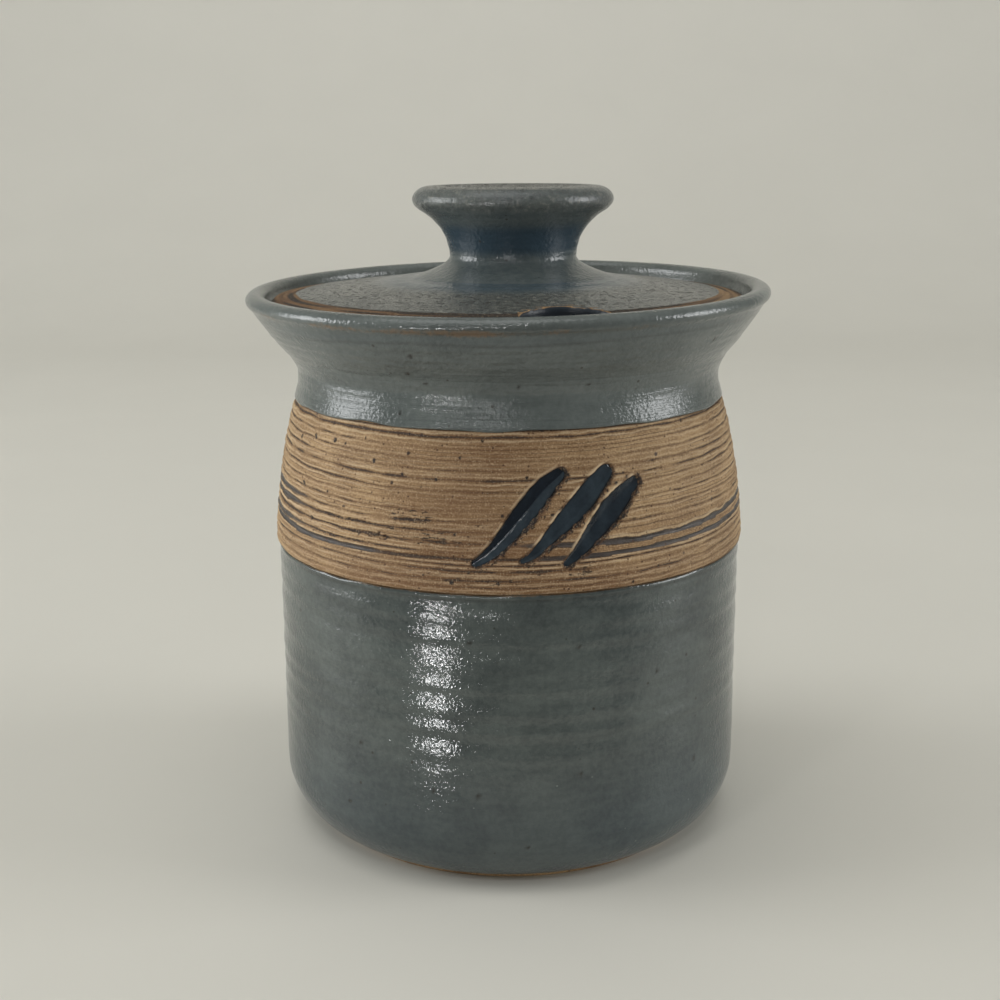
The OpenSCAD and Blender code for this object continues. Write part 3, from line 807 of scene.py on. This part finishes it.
def tilt_share(line):
    """How much of the rim's tilt each row takes: none below the waist and at the seat, all at the lip."""
    outside = np.arange(len(line)) <= np.argmax(line[:, 1])
    return np.where(outside, rise(line[:, 1], WAIST_Z + 1, RIM_Z - 2), rise(line[:, 1], SEAT_Z + 0.8, RIM_Z))


def tilted(x, y, z, share):
    """The rim sank towards the front left as it dried: z plus its tilt times x and y, by each row's share."""
    return x, y, z + (RIM_TILT[0] * x + RIM_TILT[1] * y) * share[:, None]


rows = np.vstack([clay_foot, clay_under_wall, [[47.2, BAND_Z - 0.25]], band_line, [[43.0, COLLAR_Z + 0.15]],
                  clay_under_collar[1:-1], [[46.7, GALLERY_BARE_Z + 0.4]], clay_seat, clay_under_liner[1:]])
first_band = len(clay_foot) + len(clay_under_wall) + 1
on_band = slice(first_band, first_band + len(band_line))
a = jar_angle[None, :]
r, z = grid(rows, jar_angle)
relief, band_fields = band_relief(a, z[on_band])
r[on_band] += relief
fields = {name: np.zeros(r.shape) for name in band_fields}
fields["stain"] = 0.25 + 0.2 * np.clip(grain(a, z, 20, 6.0, 51), -1, 1)
fields["rib"] = z.copy()
for name, values in band_fields.items():
    fields[name][on_band] = values
x, y, z = tilted(*place(r, a, z), tilt_share(rows))
jar = build("clay_jar", x, y, z, [(0, 0, RECESS_Z), (0, 0, FLOOR_Z - CLAY_UNDER)], **fields)
finish_piece(jar, "jar", "bare_clay", bare_clay, "jar_body")

# %% [markdown]
# The glaze coats of the jar
#
# A coat is a closed shell: its outside shows, and its inside lies just under the clay's surface. At its
# edges the melted glaze rolled up into a bead. Under it the throwing rings show as a slow saw-tooth that
# climbs round the wall as a screw does, because the potter's fingers rose while the wheel turned.

# %% Coat sections
def coat(surface, angle, depth=CLAY_UNDER, every=4, from_axis=False):
    """A coat's rows, and which of them show: its surface, and the way back under it, which keeps every fourth
    point or so. A coat that reaches the axis starts with the way back, as its ends close in poles."""
    under = sunk(surface, depth)[::-1][::every]
    parts = [under, surface] if from_axis else [surface, under]
    shows = np.concatenate([np.full(len(part), part is surface) for part in parts])
    return *grid(np.vstack(parts), angle), shows[:, None]


def throwing_rings(angle, along, pitch, top):
    """A saw-tooth along a screw line: it falls to -1 over half the pitch and rises again over the rest."""
    turn = ((along - top) / pitch + angle / (2 * math.pi)) % 1.0
    return -rise(np.minimum(turn, 1 - turn), 0.0, 0.5)


def placed_marks(angle, z, marks, radius):
    """1 on each of the listed marks, which are given as degrees from the front, height and size."""
    total = np.zeros(np.broadcast(angle, z).shape)
    for turn, height, size in marks:
        away = from_mark(angle, z, turn, height, radius) / (size / 2)
        total = np.maximum(total, 1 - rise(away, 0.6, 1.3))
    return total


# %% The wall coat
RING_PITCH = 8.8
RING_Z = 41.4
RING_AT = math.radians(15)
RING_STEPS = [(0.0, 0.12, 0.29), (1.0, 0.12, 0.29), (0.43, 0.14, 0.23)]
RING_LEAN = 0.52
ROLL_Z = 58.8
DRIP = (28, 7.5)
WALL_MARKS = [(-8.5, 50.8, 1.0), (-36.5, 27.8, 0.9), (-7, 20.8, 0.9), (35.5, 42.3, 0.9), (15.5, 49.5, 0.8),
              (16, 24.5, 0.8), (-17.5, 21.3, 0.8), (4, 10.5, 0.7), (49, 21.3, 0.9), (-40.5, 14.8, 0.9)]


def wall_rings(angle, z):
    """The wall's rings in mm: along a screw line it leans in slowly and steps out again twice in each pitch.
    A step is given by its share of the pitch, its half width there and its height."""
    turn = ((z - RING_Z) / RING_PITCH + (angle + RING_AT) / (2 * math.pi)) % 1.0
    out = -RING_LEAN * turn
    for share, half, height in RING_STEPS:
        out = out + height * rise(turn, share - half, share + half)
    return out - out.max()


wall_surface = np.vstack([
    raised(FOOT_EDGE_Z, (39.15, 0.05), (39.42, -0.02), (39.62, 0.12)),
    smooth(wall_line, 0.62)[1:],
    raised(BAND_Z, (BODY_R + 0.03, -0.85), (BODY_R - 0.02, -0.5), (BODY_R - 0.2, -0.25),
           (BODY_R - 0.6, -0.15))])
r, z, shows = coat(wall_surface, coat_angle)
a = coat_angle[None, :]
degrees = degrees_from(a)
ringed = rise(z, 20, 31) * (1 - rise(z, BAND_Z - 2.2, BAND_Z - 1.0))
drip = bell(np.hypot((degrees - DRIP[0]) / 1.6, (z - DRIP[1]) / 1.5))
out = ringed * (wall_rings(a, z) + 0.02 * grain(a, z, 3, 3.4, 61) + 0.010 * grain(a, z, 60, 2.2, 62))
out += 0.28 * drip - 0.10 * bell(z, ROLL_Z, 0.28) + 0.05 * bell(z, ROLL_Z + 0.75, 0.4)
out += (1 - ringed) * 0.02 * grain(a, z, 40, 5, 63)
r += shows * out
z = z + bell(z, BAND_Z, 0.8) * 0.10 * grain(a, 0, 30, 9, 64, 12)
thin = np.maximum(bell(z, BAND_Z - 0.2, 0.25), bell(z, FOOT_EDGE_Z, 0.5))
# Painted shade: the groove under the glaze's rolled top edge, at ROLL_Z, is darkened; the listed marks are
# the glaze's own flaws.
mark = np.maximum(placed_marks(a, z, WALL_MARKS, BODY_R), 0.45 * bell(z, ROLL_Z, 0.22) * shows)
thick = 0.3 * (1 - rise(z, 8, 34)) + 0.08 * rise(degrees, 0, 60)
x, y, z = place(r, a, z)
wall = build("wall_glaze", x, y, z, thin=thin, thick=thick, dry=0.0, mark=mark, scored=1.0)
finish_piece(wall, "jar", "grey_glaze", wall_glaze, "lower_glaze")

# %% The collar coat
COLLAR_MARKS = [(-20.5, 103.4, 0.9), (-23, 99.4, 0.8), (-19.5, 97.3, 0.7), (-27, 91.3, 0.8), (2.5, 97, 0.7),
                (19, 97, 0.7), (51, 103.6, 0.9)]
bare_r = gallery_r(GALLERY_BARE_Z)
collar_surface = np.vstack([
    raised(COLLAR_Z, (BAND_TOP_R - 0.5, 0.05), (BAND_TOP_R - 0.05, -0.02), (BAND_TOP_R + 0.10, 0.18),
           (BAND_TOP_R + 0.06, 0.45)),
    smooth(collar_line, 0.4)[2:],
    raised(GALLERY_BARE_Z, (bare_r + 0.15, 0.1), (bare_r + 0.5, 0))])
tilt = tilt_share(collar_surface)
tilt = np.concatenate([tilt, tilt[::-1][::4]])
r, z, shows = coat(collar_surface, coat_angle)
outside = shows & (np.gradient(z, axis=0) > 0)
on_flare = rise(z, COLLAR_Z + 1, COLLAR_Z + 3) * (1 - rise(z, RIM_Z - 4, RIM_Z - 1.5))
r += outside * on_flare * (0.03 * grain(a, z, 2, 1.1, 71) + 0.02 * grain(a, z, 40, 1.6, 72))
z = z + bell(z, COLLAR_Z, 0.8) * 0.12 * grain(a, 0, 30, 9, 74, 12)
groove_z = np.interp(degrees, (-60, -45, -20, 0, 30, 60), (105.0, 105.2, 106.2, 105.6, 106.4, 106.6))
groove = bell(z, groove_z, 0.3) * outside
r -= 0.06 * groove
facing = rise(degrees, -50, -28) * (1 - rise(degrees, -5, 25))
thin = bell(z, RIM_Z - 1.0, 0.9) * outside * (0.25 + 0.65 * facing + 0.2 * grain(a, z, 24, 4, 75))
thin = np.maximum(thin, 0.6 * bell(z, COLLAR_Z, 0.2))
thick = 0.1 * outside + 0.15 * bell(z, groove_z + 0.8, 1.2) * outside
# Painted shadow: along the groove below the rim the glaze is darkened, besides the listed flaws.
mark = np.maximum(placed_marks(a, z, COLLAR_MARKS, WAIST_R + 3), 0.3 * groove)
# Painted shade: the outside of the lip is darkened at the front, round 2 degrees.
mark = np.maximum(mark, 0.28 * outside * bell(z, RIM_Z - 0.2, 1.1) * bell(degrees, 2, 28))
x, y, z = tilted(*place(r, a, z), tilt)
scored = 0.2 + 0.8 * np.maximum(1 - rise(z, 94.0, 95.5), 0.9 * bell(z, 98.2, 2.0))
collar = build("collar_coat", x, y, z, thin=thin, thick=thick, dry=0.0, mark=mark, scored=scored)
finish_piece(collar, "jar", "grey_glaze", collar_glaze, "collar_glaze")

# %% The liner coat
LINER_T = 0.7
liner_surface = np.vstack([[[42.75, SEAT_Z - 0.55]], smooth(liner_line, 1.0), [[2.5, FLOOR_Z]]])
r, z, shows = coat(liner_surface, liner_angle, LINER_T, from_axis=True)
a = liner_angle[None, :]
wall_part = shows * rise(z, FLOOR_Z + 6, FLOOR_Z + 14) * (1 - rise(z, WAIST_Z - 4, WAIST_Z))
r += 0.25 * wall_part * throwing_rings(a, z, 7.5, 20.0)
floor_part = shows * (1 - rise(r, INNER_R - 14, INNER_R - 9)) * (z < FLOOR_Z + 1)
z = z - 0.3 * floor_part * throwing_rings(a, r, 8.0, 0.0) * rise(r, 2, 8)
x, y, z = place(r, a, z)
liner = build("liner_coat", x, y, z, [(0, 0, FLOOR_Z - LINER_T), (0, 0, FLOOR_Z)], thin=0.0, thick=0.2,
              dry=0.0, mark=0.0, scored=1.0)
finish_piece(liner, "jar", "liner_glaze", liner_glaze, "liner_glaze")

# %% [markdown]
# The pools of dark glaze
#
# Each pool follows its stroke. Its top is two slopes that meet in a crease, as the tool left the cut, and
# its belly lies under the clay. Its ends close in a point.

# %% Stroke pools
POOL_SIDES = 60
POOL_GAP = 0.06
CREASE_SOFT = 0.035
END_ROWS = 5


def pool(name, points, looks):
    """A pool's rows go along the stroke and its columns round its section: the first half of the columns is
    the top, whose two slopes meet in a soft crease, and the rest is the belly under it. Both ends are
    rounded as a circle of the last half width is."""
    _, tone, lit_facet_grey, head, tail, deep = looks
    line, half = stroke_line(points, 0.35)
    way = np.gradient(line, axis=0)
    way /= np.hypot(way[:, 0], way[:, 1])[:, None]
    before = np.linspace(0.93, 0.2, END_ROWS) * half[0]
    after = np.linspace(0.2, 0.93, END_ROWS) * half[-1]
    line = np.vstack([line[0] - before[:, None] * way[0], line, line[-1] + after[:, None] * way[-1]])
    way = np.vstack([[way[0]] * END_ROWS, way, [way[-1]] * END_ROWS])
    half = np.concatenate([np.sqrt(half[0] ** 2 - before ** 2), half, np.sqrt(half[-1] ** 2 - after ** 2)])
    half = half[:, None] - POOL_GAP
    top = np.linspace(-1, 1, POOL_SIDES // 2)
    u = np.concatenate([top, top[::-1] * 0.98])[None, :]
    is_top = np.arange(POOL_SIDES)[None, :] < len(top)
    across = line[:, :1] - way[:, 1:] * u * half
    height = line[:, 1:] + way[:, :1] * u * half
    crease = np.linspace(head, tail, len(line))[:, None]
    from_crease = np.where(u < crease, (crease - u) / (1 + crease), (u - crease) / (1 - crease))
    sag = POOL_BELOW + deep * (1.09 - np.sqrt(from_crease ** 2 + CREASE_SOFT)) * np.clip(half / 2, 0, 1)
    belly = sag + 0.25 + 0.7 * (1 - u * u)
    x, y, z = place(band_r(height) - np.where(is_top, sag, belly), across / FLAT_R, height)
    tips = [[v[k].mean() for v in (x, y, z)] for k in (0, -1)]
    # Painted light: the slope right of the crease, which faces the light, is painted lighter grey by
    # lit_facet_grey.
    tone_and_lit_facet = tone + lit_facet_grey * rise(u - crease, -0.06, 0.12) + 0.15 * grain(across / 3, height, 6, 9, 95, 12)
    return build(name, x, y, z, tips, thin=bell(1 - np.abs(u), 0, 0.14), tone=np.clip(tone_and_lit_facet, 0, 1))


for name, points in STROKES.items():
    piece = pool(name.replace("_glaze", "_pool"), points, STROKE_LOOKS[name])
    finish_piece(piece, "jar", "dark_glaze", pool_glaze, name)

# %% [markdown]
# The lid
#
# The lid is a shallow dome with a hollow underside, a ring that sits in the gallery, and a round notch for
# a spoon. The notch bends the grid: each column ends where its ray from the middle meets the notch's edge,
# so the outline stays crisp and the surface closed.

# %% The lid's outline
NOTCH_R = 9.2
NOTCH_TURN = math.radians(13.5)
NOTCH_AWAY = LID_R
CORNER_SOFT = 0.7
BEND_FROM = 33.0
LID_T = 4.2
LAND_R = 22.1
LAND_Z = SEAT_Z + 7.5
EDGE_TOP_R = 46.38
EDGE_TOP_Z = SEAT_Z + 4.1
lid_shares = [(1, 0), (0.91, 0.12), (0.75, 0.28), (0.58, 0.43), (0.34, 0.63), (0.09, 0.87), (0, 1)]
lid_top = smooth([[LAND_R + (EDGE_TOP_R - LAND_R) * out, EDGE_TOP_Z + (LAND_Z - EDGE_TOP_Z) * up]
                  for out, up in lid_shares], 0.5)


def lid_top_z(r):
    """Height of the lid's top at a radius, from its smooth outline."""
    return np.interp(r, lid_top[::-1, 0], lid_top[::-1, 1])


def notched_radius(angle, edge_r, notch_r):
    """Where a ray from the middle leaves the lid: the radius at which the softened larger of two distances,
    past the edge and into the notch, is nought. It is found by halving the interval 30 times."""
    low = np.full(angle.shape, BEND_FROM)
    high = np.full(angle.shape, edge_r)
    for _ in range(30):
        r = (low + high) / 2
        past_edge = r - edge_r
        away = np.hypot(r * np.sin(angle) - NOTCH_AWAY * math.sin(NOTCH_TURN),
                        r * np.cos(angle) - NOTCH_AWAY * math.cos(NOTCH_TURN))
        in_notch = notch_r - away
        larger = np.maximum(past_edge, in_notch)
        close = np.clip(CORNER_SOFT - np.abs(past_edge - in_notch), 0, None)
        outside = larger + close ** 2 / (4 * CORNER_SOFT) > 0
        high = np.where(outside, r, high)
        low = np.where(outside, low, r)
    return (low + high) / 2


def bent(r, angle, edge_r, notch_r):
    """Moves the points outside BEND_FROM in towards it, so that edge_r lands on the notched outline."""
    out = notched_radius(angle, edge_r, notch_r)[None, :]
    return np.where(r > BEND_FROM, BEND_FROM + (r - BEND_FROM) * (out - BEND_FROM) / (edge_r - BEND_FROM), r)


# %% The clay lid
RING_R = 40.9
BARE_R = 45.5
under_line = np.array([[8, LAND_Z - LID_T], [16, LAND_Z - LID_T]] + [
    [r, lid_top_z(r) - LID_T] for r in (22, 26, 30, 34, 37, 39.5)])
ring_line = raised(SEAT_Z, (RING_R, 0.75), (RING_R + 0.25, 0.3), (RING_R + 0.8, 0.03), (RING_R + 2.4, 0),
                   (44.8, 0.02), (45.6, 0.2), (46.05, 0.65))
edge_line = np.vstack([raised(SEAT_Z, (46.5, 1.5), (46.9, 2.4)),
                       arc(EDGE_TOP_R, SEAT_Z + 3.2, LID_R - EDGE_TOP_R, 0.9, 0, 85, 8)])
bare_line = np.array([[r, lid_top_z(r)] for r in np.arange(46.1, COAT_R - 0.5, -0.25)])
hidden_line = np.array([[r, lid_top_z(r) - CLAY_UNDER] for r in (41.6, 39, 36, 33, 29, 25, 22)]
                       + [[10, LAND_Z - CLAY_UNDER]])
line = np.vstack([under_line, ring_line, edge_line, bare_line, hidden_line])
r0, z0 = grid(line, lid_angle)
a = lid_angle[None, :]
degrees = degrees_from(a)
r = bent(r0, lid_angle, LID_R, NOTCH_R)
is_top = np.arange(len(line))[:, None] >= len(under_line) + len(ring_line) + 2
z = z0 + is_top * (lid_top_z(r) - lid_top_z(np.minimum(r0, EDGE_TOP_R)))
bare_ring = is_top * rise(r0, COAT_R - 1, COAT_R + 0.5)
z = z - 0.05 * bare_ring * (1 + grain(a, r, 1, 0.9, 81))
in_notch = rise(LID_R - notched_radius(lid_angle, LID_R, NOTCH_R), 0.4, 1.2)[None, :]
on_top = is_top & (r0 < EDGE_TOP_R + 0.4)
# The notch's wall is coloured near black and blue-black, and made glossier, through the attributes stain and
# glazed.
notch_wall = in_notch * (~on_top & (r0 > BARE_R))
stain = 0.3 + 0.35 * np.clip(grain(a, r, 12, 1.6, 82), -1, 1) + 0.3 * bell(r0, LID_R, 0.6)
stain = stain * (1 - rise(z, LAND_Z - 2, LAND_Z)) + 0.25 * is_top
stain = np.maximum(stain * (1 - 0.6 * in_notch * on_top), 1.2 * notch_wall)
# Painted shade: the front of the bare ring, low behind the jar's rim, is darkened by a bell round the front.
stain = stain + 0.55 * is_top * bell(degrees, 0, 55) * (1 - in_notch)
# The ring's rust, stronger at the left, is partly the clay's own orange and partly painted shade cast by the
# rim.
rust = is_top * (0.3 + 0.6 * rise(-degrees, 35, 75))
x, y, z = place(r, a, z)
lid = build("clay_lid", x, y, z, [(0, 0, LAND_Z - LID_T), (0, 0, LAND_Z - CLAY_UNDER)], stain=stain,
            rust=rust, rib=r0, glazed=notch_wall)
finish_piece(lid, "lid", "bare_clay", bare_clay, "lid_disc")

# %% [markdown]
# The knob and the lid's coat
#
# The knob was thrown on the lid, a little off its middle. One coat of glaze runs from the knob's dished top
# down its neck and out over the lid to the bare ring.

# %% The knob's outline and its coat
FOOT_KNOB_R = 20.6
NECK_R = 12.75
KNOB_FOOT_H = 4.0
KNOB_FLARE_H = 10.4
KNOB_EDGE = 3.6
FLARE_Z = LAND_Z + KNOB_FOOT_H + 0.9
WIDEST_Z = FLARE_Z + KNOB_FLARE_H
DISH_R = KNOB_R - KNOB_EDGE
DISH_DEPTH = 1.2
knob_foot_shares = [(0, 0), (0.3, 0.2), (0.53, 0.37), (0.75, 0.57), (0.92, 0.79), (1, 1)]
knob_flare_shares = [(0, 0), (0.16, 0.05), (0.36, 0.155), (0.55, 0.345), (0.74, 0.645), (0.84, 0.86),
                     (0.93, 0.97), (1, 1)]
dish_shares = [(0.9, 0.3), (0.6, 0.85), (0.3, 0.98)]
knob_line = np.vstack([
    [[FOOT_KNOB_R + (NECK_R - FOOT_KNOB_R) * out, LAND_Z + KNOB_FOOT_H * up] for out, up in knob_foot_shares],
    [[NECK_R + (KNOB_R - NECK_R) * out, FLARE_Z + KNOB_FLARE_H * up] for up, out in knob_flare_shares],
    arc(DISH_R, WIDEST_Z, KNOB_EDGE, TOP_Z - WIDEST_Z, 15, 90, 8),
    [[DISH_R * share, TOP_Z - DISH_DEPTH * deep] for share, deep in dish_shares]])
lid_part = lid_top[(lid_top[:, 0] < COAT_R - 0.5) & (lid_top[:, 0] > LAND_R + 0.3)]
coat_edge_z = lid_top_z(COAT_R)
surface = np.vstack([raised(coat_edge_z, (COAT_R + 0.02, -0.5), (COAT_R, -0.15), (COAT_R - 0.25, 0)),
                     smooth(np.vstack([lid_part, knob_line]), 0.52)])
r0, z0, shows = coat(surface, lid_angle, every=5, from_axis=True)
on_lid = z0 < LAND_Z + 0.3
lid_r = bent(r0, lid_angle, COAT_R, NOTCH_R + 0.3)
lid_z = z0 + lid_top_z(lid_r) - lid_top_z(np.minimum(r0, COAT_R))
wheel_marks = 0.05 * bell(r0, 37.4, 0.5) - 0.05 * bell(r0, 36.4, 0.4)
lid_z += shows * (wheel_marks + 0.02 * grain(a, lid_r, 30, 2.4, 91))
r = np.where(on_lid, lid_r, r0)
z = np.where(on_lid, lid_z, z0)
shift = np.where(on_lid, KNOB_X * (1 - rise(r0, FOOT_KNOB_R, FOOT_KNOB_R + 3.5)), KNOB_X)
ripple = 0.03 * grain(a, z, 3, 1.6, 92) * rise(z, LAND_Z + 2, LAND_Z + 4)
r = r + shows * ~on_lid * ripple * (1 - rise(z, WIDEST_Z - 2, WIDEST_Z))
on_top = shows & ~on_lid & (z0 > WIDEST_Z)
z = z - 0.08 * on_top * bell(r, 16.8, 0.35)
neck = rise(z, LAND_Z + 4.0, LAND_Z + 6.5) * (1 - rise(z, WIDEST_Z - 6.0, WIDEST_Z - 3.5))
thick = np.where(on_lid, 0.6 * (1 - rise(r0, 22, 30)), neck)
thin = 0.15 * on_top + 0.5 * bell(r0, COAT_R, 0.25) * on_lid
dry = on_lid * rise(r0, 23, 30) + 0.9 * on_top * (1 - rise(r, 17.5, 19.0))
dry = np.maximum(dry, 0.45 * rise(z, WIDEST_Z - 2.5, WIDEST_Z - 1.0))
x, y, z = place(r, a, z, shift)
lid_coat = build("lid_coat", x, y, z, [(KNOB_X, 0, TOP_Z - 1.9), (KNOB_X, 0, TOP_Z - DISH_DEPTH)], thin=thin,
                 thick=thick, dry=dry, mark=0.0, scored=1.0)
finish_piece(lid_coat, "lid", "grey_glaze", lid_glaze, "lid_glaze")

# %% The clay knob
clay_line = sunk(smooth(knob_line, 1.2), 0.42)
line = np.vstack([[[12, LAND_Z - GLAZE], [FOOT_KNOB_R - 0.6, LAND_Z - GLAZE]], clay_line[1:]])
r, z = grid(line, knob_angle)
x, y, z = place(r, knob_angle[None, :], z, KNOB_X)
knob = build("clay_knob", x, y, z, [(KNOB_X, 0, LAND_Z - GLAZE), (KNOB_X, 0, TOP_Z - 1.65)], stain=0.2, rib=z)
finish_piece(knob, "lid", "bare_clay", bare_clay, "lid_knob")

# %% [markdown]
# The stage
#
# A pale shelf carries the pot. It ends a little in front of it, so that light from low in front reaches the
# wall, as in the photograph. The world is a soft pale room.

# %% Floor
SHELF_FRONT = -0.118
SWEEP_FROM = 0.7
SWEEP_R = 0.6
BACKDROP_Z = 2.4
STAGE_HALF = 3.0
pale_floor, floor_shader, floor_mm = new_finish("pale_floor")
shelf_tint = colour(216, 213, 203)
cloudy = noise(floor_mm, 60, 3, 0.5).blend(shelf_tint, tuple(0.96 * c for c in shelf_tint))
plug(floor_shader, {"Base Color": cloudy, "Roughness": 0.6})
turn = np.radians(np.linspace(0, 90, 25))
depth = np.concatenate([[SHELF_FRONT], SWEEP_FROM + SWEEP_R * np.sin(turn), [SWEEP_FROM + SWEEP_R]])
lift = np.concatenate([[0], SWEEP_R * (1 - np.cos(turn)), [BACKDROP_Z]])
count = len(depth)
corners = [(side * STAGE_HALF, y, z) for side in (-1, 1) for y, z in zip(depth, lift)]
faces = [(i, i + count, i + count + 1, i + 1) for i in range(count - 1)]
floor_mesh = bpy.data.meshes.new("floor")
floor_mesh.from_pydata(corners, [], faces)
floor_mesh.shade_smooth()
floor = bpy.data.objects.new("floor", floor_mesh)
bpy.context.collection.objects.link(floor)
floor.data.materials.append(pale_floor)
print("floor:", len(faces), "strips")


# %% Lamps
def lamp(name, azimuth, elevation, distance, size, watts, tint=(1, 1, 1), middle=(0, 0, 0.07)):
    """An area lamp in a direction from the pot, facing it. Azimuth 0 is in front and 90 on the right."""
    turn = math.radians(azimuth)
    up = math.radians(elevation)
    away = Vector((math.sin(turn) * math.cos(up), -math.cos(turn) * math.cos(up), math.sin(up)))
    light = bpy.data.lights.new(name, "AREA")
    light.shape = "RECTANGLE"
    light.size, light.size_y = size
    light.energy = watts
    light.color = tint
    lit = bpy.data.objects.new(name, light)
    lit.location = Vector(middle) + away * distance
    lit.rotation_euler = (-away).to_track_quat("-Z", "Y").to_euler()
    bpy.context.collection.objects.link(lit)
    print(f"lamp {name}: {watts} W")


lamp("low_window", -34, -15.2, 0.9, (0.035, 0.15), 1.6)
lamp("upper_left", -34, 34, 1.1, (0.08, 0.16), 0.6)
lamp("left_window", -90, 10, 1.3, (0.7, 0.8), 11.5, (0.97, 0.99, 1.0))
lamp("right_window", 86, 12, 1.4, (0.65, 0.8), 10.5, (0.98, 0.99, 1.0))
lamp("front_strip", -10, 5, 1.0, (0.025, 0.3), 1.2)
lamp("overhead", -40, 77, 1.2, (1.0, 1.0), 4.6)
lamp("front_dot", 2, 42, 1.0, (0.03, 0.03), 0.6)
lamp("backdrop_wash", 0, 27, 0.9, (1.4, 0.4), 1.8, middle=(0, 1.2, 0.55))

# %% World and camera
DIM_BEHIND = (0.12, 0.125, 0.12, 1)
BRIGHT_AHEAD = (0.42, 0.43, 0.41, 1)
world = bpy.data.worlds.new("room")
bpy.context.scene.world = world
world.use_nodes = True
sky = Wire(world.node_tree)
forward = sky.node("ShaderNodeTexCoord", output="Generated").axis(1)
room = forward.step(-0.9, 0.5).blend(DIM_BEHIND, BRIGHT_AHEAD)
seen = sky.node("ShaderNodeLightPath", output="Is Camera Ray")
plug(world.node_tree.nodes["Background"], {"Color": seen.blend(room, colour(208, 208, 202)), "Strength": 1.0})

CAMERA_AT = (0.0, -0.29537, 0.13835)
CAMERA_TURN = math.radians(0.351)
CAMERA_TILT = math.radians(90 - 13.79)
CAMERA_ROLL = math.radians(-0.331)
camera_data = bpy.data.cameras.new("camera")
camera_data.lens = 52.2
camera_data.sensor_width = 36.0
camera = bpy.data.objects.new("camera", camera_data)
bpy.context.collection.objects.link(camera)
camera.matrix_world = (Matrix.Translation(CAMERA_AT) @ Matrix.Rotation(CAMERA_TURN, 4, "Z")
                       @ Matrix.Rotation(CAMERA_TILT, 4, "X")
                       @ Matrix.Rotation(CAMERA_ROLL, 4, "Z"))
bpy.context.scene.camera = camera
bpy.context.scene.view_settings.view_transform = "Standard"
for leftover in ("Cube", "Light", "Camera"):
    if leftover in bpy.data.objects:
        bpy.data.objects.remove(bpy.data.objects[leftover])
print("camera:", camera_data.lens, "mm at", CAMERA_AT)
